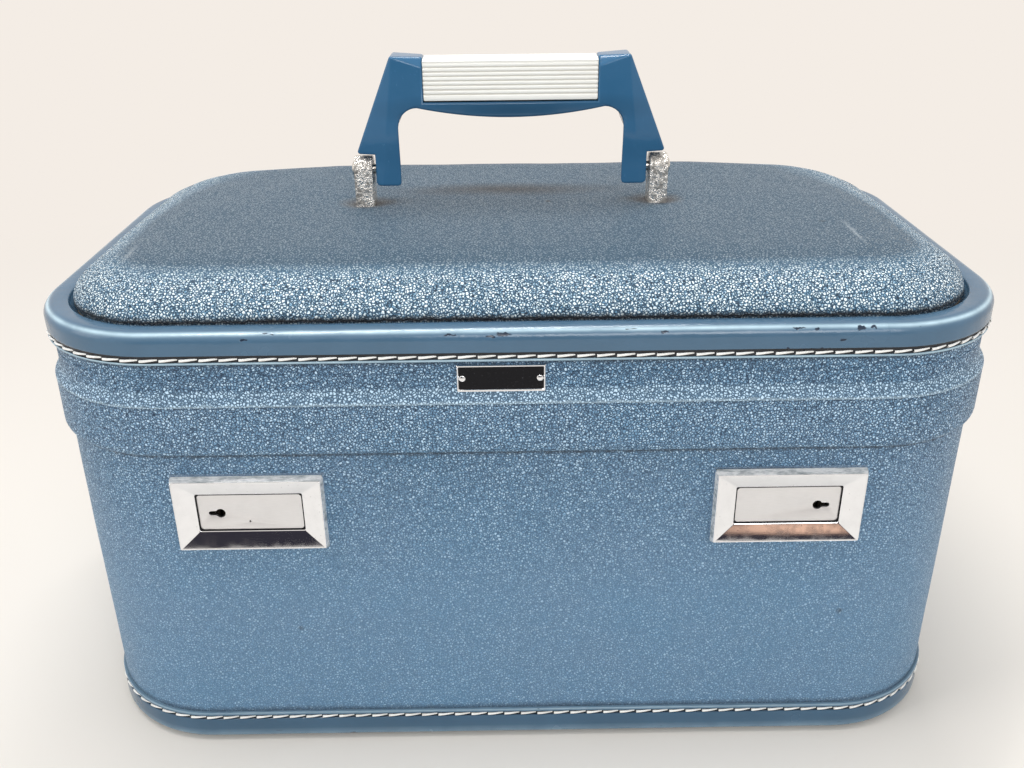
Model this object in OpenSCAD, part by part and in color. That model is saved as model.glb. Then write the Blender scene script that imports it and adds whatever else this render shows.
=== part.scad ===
// Makeup train case: a round-cornered box with a hinged padded lid, a folding
// top handle, two sliding latches and a lift-out tray.
// Millimetres, +Z up, front of the case towards -Y, table at Z = 0.

/* [Case] */
// Width over the side walls
case_w = 348; // [335:1:365]
// Depth over the front and back walls
case_d = 204; // [196:1:220]
// Outside radius of the four upright corners
corner_r = 48; // [46:0.5:52]
// Height of the parting line between body and lid
seam_h = 152.5; // [150:0.5:160]
// Height of the lid from the parting line to the rim of its binding
lid_h = 27.7; // [26:0.1:32]
// Rise of the padded top above the rim
dome_rise = 15.3; // [12:0.1:18]
// Width of the padded top's rounded shoulder
dome_shoulder = 34; // [30:0.5:36]

/* [Walls] */
// Thickness of the fibreboard body shell
wall_t = 4; // [3.5:0.1:4.5]
// Thickness of the vinyl covering
cover_t = 0.8; // [0.6:0.1:1]
// Thickness of the fabric lining
lining_t = 1.2; // [0.8:0.1:1.4]
// How far the rim band stands out from the wall
band_t = 2.6; // [2.2:0.1:3]
// Height of the rim band below the parting line
band_below = 19.5; // [16:0.5:21]
// Height of the flare that the lid wall makes above the parting line
flare_h = 4.1; // [3.6:0.1:4.1]

/* [Bindings] */
// Thickness of the base binding
bind_t = 1.2; // [0.8:0.1:1.6]
// Thickness of the lid binding
lid_bind_t = 2; // [1.2:0.1:2.2]
// Height of the lid binding's upright face
lid_bind_h = 11.8; // [9:0.1:12]
// Width of the lid binding's top face
lid_bind_w = 8; // [6:0.5:9]
// Height of the base binding
base_bind_h = 13; // [10:0.5:15]
// Spacing of the stitches
stitch_pitch = 6.7; // [6:0.1:9]
// Length of one stitch
stitch_len = 5.3; // [4:0.1:5.9]

/* [Handle] */
// Distance of the handle's middle from the middle of the lid, to the right
handle_shift = -2.2; // [-4:0.1:4]
// Distance between the outer faces of the two handle posts
post_span = 128.6; // [120:0.2:140]
// Width of one handle post, seen from the front
post_w = 7.6; // [7:0.2:10]
// Depth of one handle post, front to back
post_d = 11; // [9:0.5:13]
// Height of the handle pivots above the padded top
pivot_rise = 14.5; // [13:0.5:17]
// Height of the handle from its pivots to its top
handle_h = 45.2; // [43:0.1:48]
// Depth of the handle, front to back
handle_d = 15; // [12:0.5:16]

/* [Latches] */
// Half the distance between the middles of the two latches
latch_x = 97.5; // [92:0.5:106]
// Distance of the pair of latches from the middle of the case, to the right
latch_shift = -1.2; // [-3:0.1:3]
// Height of the latches' centre line above the table
latch_z = 109.6; // [108:0.1:112]
// Width of a latch bezel
bezel_w = 55.4; // [55:0.1:58]
// Height of a latch bezel
bezel_h = 31.3; // [31:0.1:34]
// How far a latch bezel stands out from the wall
bezel_out = 4.2; // [3.6:0.1:5.5]
// Travel of a latch slide when it is pushed outwards
latch_travel = 6; // [4:0.5:6]

/* [Lid gear] */
// Distance of each hinge from the middle of the case
hinge_x = 95; // [80:1:105]
// Width of a hinge
hinge_w = 45; // [35:1:50]
// Furthest opening angle of the lid
lid_open = 95; // [85:1:100]
// Distance of the stay's pivots from the hinge axis
stay_r = 80; // [74:1:84]

/* [Tray] */
// Height of the tray
tray_h = 36; // [30:1:38]
// Clear space between the tray and the wall faces
tray_gap = 12.5; // [12.5:0.5:15]

/* [Hidden] */
$fn = 96;
e = 0.01;
foot_h = 1.5;
fit = 0.05;
seam_gap = 0.2;

shell_in = cover_t + wall_t;
lining_in = shell_in + lining_t;
floor_t = 4;
floor_top = foot_h + 0.8 + floor_t;
rim_z = seam_h + lid_h;
dome_z = rim_z + dome_rise;
board_t = 3.5;
board_top = rim_z - 3.3;
board_low = board_top - board_t;
lid_wall_t = 2.7;
lid_wall_in = cover_t + lid_wall_t;
lid_leg_t = 1.1;
lid_leg_in = lid_wall_in + lid_leg_t;
dome_inset = lid_bind_w;
cover_top_t = 1.2;
dome_base = rim_z - 1.2;

frame_t = 1.2;
frame_in = shell_in + 0.1 + frame_t;
frame_low = seam_h - 12;
tongue_h = 4;
flange_t = 1.2;

hinge_out = band_t + 1.1;
hinge_y = case_d/2 + hinge_out;
knuckle_r = 1.8;
knuckles = 5;
pin_r = 0.9;
leaf_t = 0.8;
leaf_h = 8;
leaf_clear = 2.3;

slide_in = 7.2;
slide_t = 1.2;
case_in = 10.8;
case_t = 0.8;
plate_win_w = 38.6;
plate_win_h = 15.5;
window_up = 0.4;
plate_out = 1.6;
plate_t = 1.2;
plate_reach = 26.3;
key_s = -10.9;
barrel_r = 3.6;
neck_w = 9.5;
hasp_low = seam_h - 15.5;

stay_pin_r = 1.8;
stay_w = 8;
stay_t = 1.2;
stay_in = 7.4;
stay_up = 9;
stay_down = 7;
stay_a = asin(stay_up/stay_r);
stay_b = asin(stay_down/stay_r);
stay_near = 2*stay_r*sin((stay_a + stay_b)/2);
stay_far = 2*stay_r*sin((stay_a + stay_b + lid_open)/2);

post_x = post_span/2 - post_w/2;
pivot_z = dome_z + pivot_rise;
handle_pin_r = 2;
lug_gap = 1.4;
lug_out = post_span/2 - post_w - lug_gap;
lug_w = 10.4;
lug_skin = 1.6;
shelf_out = 62.9;
crown_out = 47.1;
grip_half = 34.5;
grip_low = pivot_z + 28;
grip_high = pivot_z + handle_h - 1;
web_t = 4;
web_high = pivot_z + handle_h - 6;

tray_z = seam_h - 4.5 - tray_h;
tray_wall = 1.8;

// ---------------------------------------------------------------- shared shapes

// Outline of a round-cornered rectangle, centred on the origin
module rounded_rect(w, d, r) {
    square([w - 2*r, d], center = true);
    square([w, d - 2*r], center = true);
    for (sx = [-1, 1], sy = [-1, 1])
        translate([sx*(w/2 - r), sy*(d/2 - r)]) circle(r);
}

// Plan outline of the case, moved inwards from the wall faces
module plan(inset) {
    rounded_rect(case_w - 2*inset, case_d - 2*inset, corner_r - inset);
}

// Solid block with the case's plan between two heights
module slab(inset, low, high) {
    translate([0, 0, low]) linear_extrude(high - low) plan(inset);
}

// Upright wall between two insets and two heights
module wall(outer, inner, low, high) {
    translate([0, 0, low]) linear_extrude(high - low)
        difference() {
            plan(outer);
            plan(inner);
        }
}

// Carries a cross-section round the case. Its x is the distance out from the
// wall faces and its y is the height.
module around() {
    for (s = [0, 1]) {
        mirror([0, s, 0]) translate([0, case_d/2, 0]) rotate([90, 0, 90])
            linear_extrude(case_w - 2*corner_r, center = true) children();
        mirror([s, 0, 0]) translate([case_w/2, 0, 0]) rotate([90, 0, 0])
            linear_extrude(case_d - 2*corner_r, center = true) children();
    }
    for (sx = [0, 1], sy = [0, 1])
        mirror([sx, 0, 0]) mirror([0, sy, 0])
            translate([case_w/2 - corner_r, case_d/2 - corner_r, 0])
                rotate_extrude(angle = 90) translate([corner_r, 0]) children();
}

// Points of an elliptical arc about a centre
function arc_points(cx, cy, rx, ry, from, to, steps) =
    [for (i = [0:steps]) let (a = from + (to - from)*i/steps) [cx + rx*cos(a), cy + ry*sin(a)]];

// Places children on both sides of the case's middle plane
module both_sides() {
    for (s = [0, 1]) mirror([s, 0, 0]) children();
}

// Box given by its lowest and highest corners
module block(low, high) {
    translate(low) cube(high - low);
}

// Domed rivet head on a plane facing +Z
module rivet_head(r, h) {
    cylinder(r = r, h = h/2);
    translate([0, 0, h/2]) cylinder(r1 = r, r2 = r*0.6, h = h/2);
}

// ---------------------------------------------------------------- body

module base_board() {
    color("saddlebrown")
        slab(shell_in, foot_h + 0.8, floor_top);
}

// Opening in the front wall that a latch's neck and lock barrel slide in
module latch_slot() {
    at_both_latches()
        block([key_s - barrel_r - latch_travel - 0.5, -1, -4.4],
              [neck_w + 1, shell_in + 2, 4.4]);
}

module body_shell() {
    color("burlywood")
        difference() {
            wall(cover_t, shell_in, foot_h + 0.8, seam_h - seam_gap - flange_t);
            latch_slot();
        }
}

module body_cover() {
    color("steelblue")
        difference() {
            wall(0, cover_t, foot_h + 0.8, seam_h - seam_gap);
            latch_slot();
        }
}

module base_binding() {
    top = foot_h + base_bind_h;
    color("teal")
        around()
            polygon(concat(
                [[0, top], [bind_t*0.7, top], [bind_t, top - 0.5]],
                arc_points(bind_t - 2.5, foot_h + 2.4, 2.5, 2.4, 0, -90, 8),
                [[-9, foot_h], [-9, foot_h + 0.8], [0, foot_h + 0.8]]));
}

// A row of stitches round the case at one height, standing out from the wall
module stitch_row(z, out) {
    r = corner_r + out;
    size = [stitch_len, 0.7, 1.2];
    n_w = floor((case_w - 2*corner_r)/stitch_pitch);
    n_d = floor((case_d - 2*corner_r)/stitch_pitch);
    n_c = round(PI*r/2/stitch_pitch);
    for (s = [0, 1]) {
        mirror([0, s, 0]) for (i = [0:n_w - 1])
            translate([(i + 0.5 - n_w/2)*(case_w - 2*corner_r)/n_w, case_d/2 + out, z])
                cube(size, center = true);
        mirror([s, 0, 0]) for (i = [0:n_d - 1])
            translate([case_w/2 + out, (i + 0.5 - n_d/2)*(case_d - 2*corner_r)/n_d, z])
                rotate([0, 0, 90]) cube(size, center = true);
    }
    for (sx = [0, 1], sy = [0, 1]) mirror([sx, 0, 0]) mirror([0, sy, 0])
        translate([case_w/2 - corner_r, case_d/2 - corner_r, z])
            for (i = [0:n_c - 1]) rotate([0, 0, (i + 0.5)*90/n_c])
                translate([r, 0, 0]) rotate([0, 0, 90]) cube(size, center = true);
}

module base_stitching() {
    color("ivory")
        stitch_row(foot_h + base_bind_h - 2.4, bind_t + 0.15);
}

module base_glides() {
    color("silver")
        for (sx = [-1, 1], sy = [-1, 1])
            translate([sx*(case_w/2 - 45), sy*(case_d/2 - 40), 0]) {
                cylinder(r1 = 6, r2 = 7, h = foot_h);
                cylinder(r = 5, h = foot_h + 0.8);
            }
}

// Clearance for the hinge barrels in the rear bands
module hinge_recess() {
    both_sides()
        block([hinge_x - hinge_w/2 - 1, hinge_y - 2.2, seam_h - 2.3],
              [hinge_x + hinge_w/2 + 1, hinge_y + 3, seam_h + 2.3]);
}

module body_rim_band() {
    low = seam_h - band_below;
    top = seam_h - seam_gap;
    color("steelblue")
        difference() {
            around()
                polygon(concat(
                    [[0, low]],
                    arc_points(0, low + 2.6, band_t, 2.6, -80, 0, 8),
                    arc_points(band_t - 0.9, top - 0.9, 0.9, 0.9, 0, 90, 4),
                    [[0, top]]));
            hinge_recess();
        }
}

module body_frame() {
    color("lightgray") {
        wall(cover_t, shell_in + 0.1, seam_h - seam_gap - flange_t, seam_h - seam_gap);
        wall(shell_in + 0.1, frame_in, frame_low, seam_h + tongue_h);
    }
}

// Space that a latch case takes in the front lining
module case_recess() {
    at_both_latches() block([-28, 1, -15], [15, 40, seam_h - latch_z]);
}

module body_lining() {
    color("lightblue") {
        difference() {
            wall(shell_in, lining_in, floor_top, frame_low - 0.1);
            case_recess();
        }
        slab(lining_in, floor_top, floor_top + lining_t);
    }
}

module rear_pocket() {
    y = case_d/2 - lining_in;
    color("skyblue")
        block([-125, y - 4, 18], [125, y, 78]);
}

module pocket_elastic() {
    y = case_d/2 - lining_in;
    color("aliceblue")
        block([-125, y - 4.5, 78], [125, y, 84]);
}

// Ledge that the tray rests on, running along one wall
module tray_rail(half) {
    y = -case_d/2 + lining_in;
    block([-half, y, tray_z - 12], [half, y + 1.4, tray_z]);
    block([-half, y, tray_z - 1.8], [half, y + 11, tray_z]);
}

module tray_rail_front() {
    color("lightgray") tray_rail(72);
}

module tray_rail_rear() {
    color("lightgray") mirror([0, 1, 0]) tray_rail(110);
}

// ---------------------------------------------------------------- latches
// The left latch is drawn about its own centre: x is along the case, y runs
// inwards from the front wall face and z is up. The right one is its mirror.

module at_latch(side) {
    translate([latch_shift, 0, 0]) mirror([side, 0, 0])
        translate([-latch_x, -case_d/2, latch_z]) children();
}

module at_both_latches() {
    for (side = [0, 1]) at_latch(side) children();
}

// Thin rectangle parallel to the front wall
module pane(w, h, y) {
    translate([-w/2, y, -h/2]) cube([w, e, h]);
}

module bezel() {
    difference() {
        hull() {
            pane(bezel_w, bezel_h, -0.4);
            pane(bezel_w - 0.3, bezel_h - 0.3, -e);
            pane(bezel_w - 2, bezel_h - 3.2, -bezel_out);
        }
        hull() {
            pane(bezel_w - 2.8, bezel_h - 4, -bezel_out - e);
            translate([0, 0, window_up]) pane(plate_win_w, plate_win_h, -plate_out - 0.4);
        }
        translate([0, 0, window_up])
            block([-plate_win_w/2, -plate_out - 1, -plate_win_h/2],
                  [plate_win_w/2, 1, plate_win_h/2]);
        block([-plate_reach - 0.4, -plate_out - 0.15, -9], [plate_reach + 0.1, 1, 9]);
    }
}

module latch_bezel_left() {
    color("gainsboro") at_latch(0) bezel();
}

module latch_bezel_right() {
    color("gainsboro") at_latch(1) bezel();
}

// Steel box that holds the bolt behind the lining
module latch_case() {
    high = seam_h - 3.5 - latch_z;
    difference() {
        block([-26.5, shell_in, -12], [12, case_in, high]);
        block([-26.5 + case_t, 0, -12 + case_t], [12 - case_t, case_in - case_t, high + 1]);
        block([-27, 0, frame_low - latch_z - 0.2], [13, frame_in + 0.1, high + 1]);
    }
}

module latch_case_left() {
    color("slategray") at_latch(0) latch_case();
}

module latch_case_right() {
    color("slategray") at_latch(1) latch_case();
}

// Finger plate in front of the wall, its neck, and the bolt arm behind the wall
module latch_slide() {
    nose_z = seam_h - 9.5 - latch_z;
    difference() {
        block([latch_travel - plate_reach, -plate_out, -8.8],
              [plate_reach - 0.4, -plate_out + plate_t, 8.8]);
        translate([key_s, 0, 0]) rotate([90, 0, 0]) cylinder(r = 1.9, h = 10, center = true);
        block([key_s - 4.4, -5, -0.7], [key_s, 5, 0.7]);
    }
    block([0, -plate_out + plate_t, -3.9], [neck_w, slide_in, 3.9]);
    difference() {
        block([-17, slide_in, -7], [neck_w, slide_in + slide_t, 7]);
        translate([key_s, 0, 0]) rotate([90, 0, 0])
            cylinder(r = barrel_r + fit, h = 40, center = true);
    }
    block([-17, slide_in, 7], [-8, slide_in + slide_t, nose_z + 2]);
    block([-8, slide_in, nose_z - 2], [-6.3, slide_in + slide_t, nose_z + 2]);
}

module latch_slide_left() {
    color("whitesmoke") at_latch(0) latch_slide();
}

module latch_slide_right() {
    color("whitesmoke") at_latch(1) latch_slide();
}

// One point of a coil that runs along x
function coil_point(i, k, sides, steps, turns, length, r, wire) =
    let (a = 360*turns*i/steps, b = 360*k/sides, rr = r + wire*cos(b))
    [length*i/steps + wire*sin(b), rr*cos(a), rr*sin(a)];

// Round-wire compression spring along x, starting at x = 0
module coil(length, r, wire, turns) {
    sides = 6;
    steps = turns*14;
    points = [for (i = [0:steps], k = [0:sides - 1])
        coil_point(i, k, sides, steps, turns, length, r, wire)];
    skin = [for (i = [0:steps - 1], k = [0:sides - 1])
        let (n = (k + 1) % sides)
        [i*sides + k, (i + 1)*sides + k, (i + 1)*sides + n, i*sides + n]];
    ends = [[for (k = [0:sides - 1]) k], [for (k = [0:sides - 1]) steps*sides + sides - 1 - k]];
    polyhedron(points, concat(skin, ends), convexity = 6);
}

module latch_spring() {
    translate([-25.2, slide_in + slide_t/2 - 0.1, -3.5]) coil(7.7, 1.5, 0.3, 6);
}

module latch_spring_left() {
    color("silver") at_latch(0) latch_spring();
}

module latch_spring_right() {
    color("silver") at_latch(1) latch_spring();
}

// Key barrel with a keyway in front and a cam at its inner end
module lock_barrel() {
    translate([key_s, 0, 0]) {
        difference() {
            rotate([-90, 0, 0]) translate([0, 0, -plate_out + plate_t + 0.1])
                cylinder(r = barrel_r, h = slide_in + slide_t + 0.2 + plate_out - plate_t - 0.1);
            block([-0.5, -plate_out - 1, -2], [0.5, 4, 2]);
        }
        block([-2, slide_in + slide_t + 0.2, -2], [2, slide_in + slide_t + 1.1, 6]);
    }
}

module lock_barrel_left() {
    color("darkgoldenrod") at_latch(0) lock_barrel();
}

module lock_barrel_right() {
    color("darkgoldenrod") at_latch(1) lock_barrel();
}

// ---------------------------------------------------------------- hinges

// Leaf and knuckles of one hinge half. up is 1 for the lid half, -1 for the body half.
module hinge_half(up) {
    step = hinge_w/knuckles;
    first = up > 0 ? 1 : 0;
    difference() {
        union() {
            translate([-hinge_w/2, case_d/2 + band_t, up > 0 ? leaf_clear : -leaf_clear - leaf_h])
                cube([hinge_w, leaf_t, leaf_h]);
            for (i = [first:2:knuckles - 1])
                translate([-hinge_w/2 + i*step + 0.15, 0, 0]) {
                    translate([0, case_d/2 + band_t, up > 0 ? 0 : -leaf_clear - 0.1])
                        cube([step - 0.3, leaf_t, leaf_clear + 0.1]);
                    translate([0, hinge_y, 0]) rotate([0, 90, 0])
                        cylinder(r = knuckle_r, h = step - 0.3);
                }
        }
        translate([0, hinge_y, 0]) rotate([0, 90, 0])
            cylinder(r = pin_r + fit, h = hinge_w + 2, center = true);
    }
}

module at_hinge(side) {
    mirror([side, 0, 0]) translate([-hinge_x, 0, seam_h]) children();
}

module body_hinge_left() {
    color("silver") at_hinge(0) hinge_half(-1);
}

module body_hinge_right() {
    color("silver") at_hinge(1) hinge_half(-1);
}

module lid_hinge_left() {
    color("silver") at_hinge(0) hinge_half(1);
}

module lid_hinge_right() {
    color("silver") at_hinge(1) hinge_half(1);
}

module hinge_pin() {
    translate([0, hinge_y, 0]) rotate([0, 90, 0]) {
        cylinder(r = pin_r, h = hinge_w + 0.6, center = true);
        for (s = [-1, 1]) translate([0, 0, s*(hinge_w/2 + 0.4)])
            cylinder(r = knuckle_r - 0.3, h = 0.6, center = true);
    }
}

module hinge_pin_left() {
    color("gray") at_hinge(0) hinge_pin();
}

module hinge_pin_right() {
    color("gray") at_hinge(1) hinge_pin();
}

// Rivet heads of one hinge leaf
module leaf_rivets(up) {
    for (side = [0, 1]) at_hinge(side)
        for (i = [-1:1])
            translate([i*hinge_w*0.36, case_d/2 + band_t + leaf_t, up*(leaf_clear + leaf_h/2)])
                rotate([-90, 0, 0]) rivet_head(2, 0.9);
}

module body_hinge_rivets() {
    color("gainsboro") leaf_rivets(-1);
}

module lid_hinge_rivets() {
    color("gainsboro") leaf_rivets(1);
}

// ---------------------------------------------------------------- lid stays

// The stay's plane runs front to back just inside each side wall
module at_stay(side) {
    mirror([side, 0, 0]) translate([-case_w/2, hinge_y, seam_h]) children();
}

module stay_studs() {
    color("silver") for (side = [0, 1]) at_stay(side)
        translate([frame_in, -stay_r*cos(stay_b), -stay_down]) rotate([0, 90, 0]) {
            cylinder(r = 3.6, h = stay_in - frame_in - 0.3);
            cylinder(r = stay_pin_r, h = stay_in - frame_in + stay_t + 0.8);
            translate([0, 0, stay_in - frame_in + stay_t + 0.2]) cylinder(r = 3.4, h = 0.7);
        }
}

module stay_pivots() {
    color("silver") for (side = [0, 1]) at_stay(side)
        translate([lid_leg_in, -stay_r*cos(stay_a), stay_up]) rotate([0, 90, 0]) {
            cylinder(r = 3.6, h = stay_in - lid_leg_in - 0.3);
            cylinder(r = stay_pin_r, h = stay_in - lid_leg_in + stay_t + 0.8);
            translate([0, 0, stay_in - lid_leg_in + stay_t + 0.2]) cylinder(r = 3.4, h = 0.7);
        }
}

// Slotted arm, hanging from its lid pivot and straddling the body stud
module stay_arm() {
    lean = (stay_a - stay_b)/2;
    translate([stay_in, -stay_r*cos(stay_a), stay_up])
        rotate([-lean, 0, 0]) rotate([0, 90, 0]) linear_extrude(stay_t)
            difference() {
                union() {
                    circle(stay_w/2);
                    translate([stay_far + 2, 0]) circle(stay_w/2);
                    translate([0, -stay_w/2]) square([stay_far + 2, stay_w]);
                }
                circle(stay_pin_r + fit);
                for (x = [stay_near, stay_far]) translate([x, 0]) circle(stay_pin_r + 0.25);
                translate([stay_near, -stay_pin_r - 0.25])
                    square([stay_far - stay_near, 2*stay_pin_r + 0.5]);
            }
}

module stay_arm_left() {
    color("lightgray") at_stay(0) stay_arm();
}

module stay_arm_right() {
    color("lightgray") at_stay(1) stay_arm();
}

// ---------------------------------------------------------------- tray

module tray() {
    half_w = case_w/2 - tray_gap - tray_wall;
    half_d = case_d/2 - tray_gap - tray_wall;
    split_x = 62;
    split_y = 12;
    t = tray_wall/2;
    color("ghostwhite")
        difference() {
            slab(tray_gap, tray_z, tray_z + tray_h);
            difference() {
                slab(tray_gap + tray_wall, tray_z + 2, tray_z + tray_h + 1);
                block([-split_x - t, -half_d, 0], [-split_x + t, half_d, 300]);
                block([split_x - t, -half_d, 0], [split_x + t, half_d, 300]);
                block([-half_w, split_y - t, 0], [-split_x, split_y + t, 300]);
                block([split_x, split_y - t, 0], [half_w, split_y + t, 300]);
            }
        }
}

// ---------------------------------------------------------------- lid

module lid_shell() {
    color("burlywood")
        difference() {
            union() {
                slab(cover_t, board_low, board_top);
                wall(cover_t, lid_wall_in, seam_h + seam_gap + flange_t, board_low);
            }
            at_both_posts() translate([0, 0, board_low - 1]) {
                cylinder(r = 2.6, h = 10);
                cylinder(r = 6.1, h = 2.1);
            }
        }
}

module lid_frame() {
    color("lightgray") {
        wall(cover_t, lid_wall_in, seam_h + seam_gap, seam_h + seam_gap + flange_t);
        wall(lid_wall_in, lid_leg_in, seam_h + seam_gap, seam_h + 12);
    }
}

// Solid under a padded surface: a flat middle and an elliptical shoulder
module dome(inset, shoulder, low, spring, high) {
    around()
        polygon(concat(
            [[-inset, low]],
            arc_points(-inset - shoulder, spring, shoulder, high - spring, 0, 90, 16),
            [[-inset - shoulder, low]]));
    slab(inset + shoulder, low, high);
}

// Square holes in the padded top for the handle posts
module post_holes() {
    at_both_posts()
        block([-post_w/2 - 0.1, -post_d/2 - 0.1, board_top - 1],
              [post_w/2 + 0.1, post_d/2 + 0.1, dome_z + 5]);
}

module lid_padding() {
    t = cover_top_t;
    color("khaki")
        difference() {
            dome(dome_inset + t, dome_shoulder - t, board_top, dome_base, dome_z - t);
            post_holes();
        }
}

module lid_top_cover() {
    t = cover_top_t;
    color("steelblue")
        difference() {
            dome(dome_inset, dome_shoulder, board_top, dome_base, dome_z);
            dome(dome_inset + t, dome_shoulder - t, board_top - 1, dome_base, dome_z - t);
            post_holes();
        }
}

module lid_wall_cover() {
    color("steelblue")
        wall(0, cover_t, seam_h + seam_gap, board_top);
}

// The lid wall flares out to the parting line, and is packed out behind the hinges
module lid_rim_band() {
    low = seam_h + seam_gap;
    lip = 0.6;
    color("steelblue")
        difference() {
            union() {
                around()
                    polygon(concat(
                        [[0, low]],
                        arc_points(band_t - lip, low + lip, lip, lip, -90, 0, 4),
                        [[band_t - 0.1, seam_h + 1.1], [band_t - 1.2, seam_h + 2.2],
                         [0.35, seam_h + flare_h - 0.7], [0, seam_h + flare_h]]));
                both_sides()
                    block([hinge_x - hinge_w/2 - 1.5, case_d/2, low],
                          [hinge_x + hinge_w/2 + 1.5, case_d/2 + band_t, low + leaf_clear + leaf_h + 0.5]);
            }
            hinge_recess();
        }
}

module lid_binding() {
    low = rim_z - lid_bind_h;
    color("teal")
        around()
            polygon(concat(
                [[0, low], [lid_bind_t*0.6, low]],
                arc_points(lid_bind_t - 0.6, low + 0.6, 0.6, 0.6, -60, 0, 4),
                arc_points(lid_bind_t - 4.4, rim_z - 4.2, 4.4, 4, 0, 80, 8),
                [[1 - lid_bind_w, rim_z], [1 - lid_bind_w, board_top], [0, board_top]]));
}

module lid_stitching() {
    color("ivory")
        stitch_row(rim_z - lid_bind_h + 1.9, lid_bind_t + 0.05);
}

// ---------------------------------------------------------------- badge

// The badge is drawn flat on the front of the lid: x along the case, z up
badge_w = 30.6;
badge_h = 10.1;
badge_x = -7.2;
badge_z = rim_z - lid_bind_h - badge_h/2 - 1.6;
badge_y = -case_d/2;

module badge_plate() {
    color("black")
        translate([badge_x, badge_y - 0.4, badge_z])
            cube([badge_w - 1.4, 0.8, badge_h - 1.4], center = true);
}

module badge_border() {
    color("gainsboro")
        difference() {
            translate([badge_x, badge_y - 0.6, badge_z])
                cube([badge_w, 1.2, badge_h], center = true);
            translate([badge_x, badge_y, badge_z])
                cube([badge_w - 1.4, 9, badge_h - 1.4], center = true);
        }
}

module badge_pins() {
    color("white")
        for (s = [-1, 1]) translate([badge_x + s*(badge_w/2 - 2), badge_y - 0.8, badge_z])
            rotate([90, 0, 0]) rivet_head(1.1, 0.5);
}

// ---------------------------------------------------------------- lid fittings

// Hook plate that reaches down into a latch case. Drawn about the latch centre.
module hasp() {
    low = hasp_low - latch_z;
    high = seam_h + 14 - latch_z;
    nose_z = seam_h - 9.5 - latch_z;
    difference() {
        block([-6, slide_in, low], [8, slide_in + slide_t, high]);
        block([-7, 0, nose_z - 2.4], [-2, 20, nose_z + 2.4]);
    }
    block([-6, lid_leg_in, high - 9], [8, slide_in, high]);
}

module hasp_left() {
    color("silver") at_latch(0) hasp();
}

module hasp_right() {
    color("silver") at_latch(1) hasp();
}

module lid_lining() {
    low = seam_h + 5;
    color("lightblue") {
        difference() {
            wall(lid_leg_in, lid_leg_in + lining_t, low, board_low - lining_t);
            at_both_latches() block([-7, 0, low - 1 - latch_z], [9, 12, seam_h + 15 - latch_z]);
            for (side = [0, 1]) at_stay(side)
                translate([0, -stay_r*cos(stay_a), stay_up]) rotate([0, 90, 0])
                    cylinder(r = 5, h = 12);
        }
        slab(lid_wall_in, board_low - lining_t, board_low);
    }
}

mirror_w = 190;
mirror_d = 112;
mirror_top = board_low - lining_t;

module mirror_glass() {
    color("lightcyan")
        translate([0, 0, mirror_top - 2]) linear_extrude(2)
            rounded_rect(mirror_w, mirror_d, 18);
}

module mirror_frame() {
    color("silver")
        translate([0, 0, mirror_top - 2.6]) linear_extrude(2.6)
            difference() {
                rounded_rect(mirror_w + 8, mirror_d + 8, 22);
                rounded_rect(mirror_w, mirror_d, 18);
            }
}

// ---------------------------------------------------------------- handle

// Upright strap with a round top, pinned through, and its shank into the lid
module handle_post() {
    translate([-post_w/2, 0, 0]) rotate([90, 0, 90]) linear_extrude(post_w)
        difference() {
            union() {
                translate([0, pivot_z]) circle(post_d/2);
                translate([-post_d/2, board_top]) square([post_d, pivot_z - board_top]);
            }
            translate([0, pivot_z]) circle(handle_pin_r);
        }
    translate([0, 0, board_low]) cylinder(r = 2.5, h = board_t);
}

module at_post(side) {
    translate([handle_shift, 0, 0]) mirror([side, 0, 0]) translate([-post_x, 0, 0]) children();
}

module at_both_posts() {
    for (side = [0, 1]) at_post(side) children();
}

module handle_post_left() {
    color("silver") at_post(0) handle_post();
}

module handle_post_right() {
    color("silver") at_post(1) handle_post();
}

module post_washers() {
    color("silver") at_both_posts()
        translate([0, 0, board_low]) difference() {
            cylinder(r = 6, h = 1.1);
            translate([0, 0, -1]) cylinder(r = 2.5, h = 3);
        }
}

// Pivot pin with a domed head outside the post
module handle_pin() {
    length = post_w + lug_gap + lug_w - lug_skin - 0.4;
    translate([-post_w/2, 0, pivot_z]) rotate([0, 90, 0]) cylinder(r = handle_pin_r, h = length);
    translate([-post_w/2, 0, pivot_z]) rotate([0, -90, 0]) rivet_head(3.2, 1.4);
}

module handle_pin_left() {
    color("gray") at_post(0) handle_pin();
}

module handle_pin_right() {
    color("gray") at_post(1) handle_pin();
}

// Front outline of the handle's right half: x from the middle, y above the pivots
module handle_half_outline() {
    shelf = 6.7;
    foot = 6;
    bar_low = 21.5;
    bar_end = 25.4;
    bar_top = grip_low - pivot_z;
    fillet = 7.5;
    inner = lug_out - lug_w;
    reach = inner - fillet;
    rise = bar_end - bar_low;
    bow_r = (reach*reach + rise*rise)/2/rise;
    bow_a = asin(reach/bow_r);
    polygon(concat(
        arc_points(0, bar_low + bow_r, bow_r, bow_r, -90, -90 + bow_a, 10),
        arc_points(reach, bar_end - fillet, fillet, fillet, 90, 0, 8),
        [[inner, -foot]],
        arc_points(lug_out - 1, 1 - foot, 1, 1, -90, 0, 2),
        [[lug_out, shelf], [shelf_out, shelf], [crown_out, handle_h], [grip_half, handle_h - 0.6],
         [grip_half, bar_top], [0, bar_top]]));
}

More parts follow.
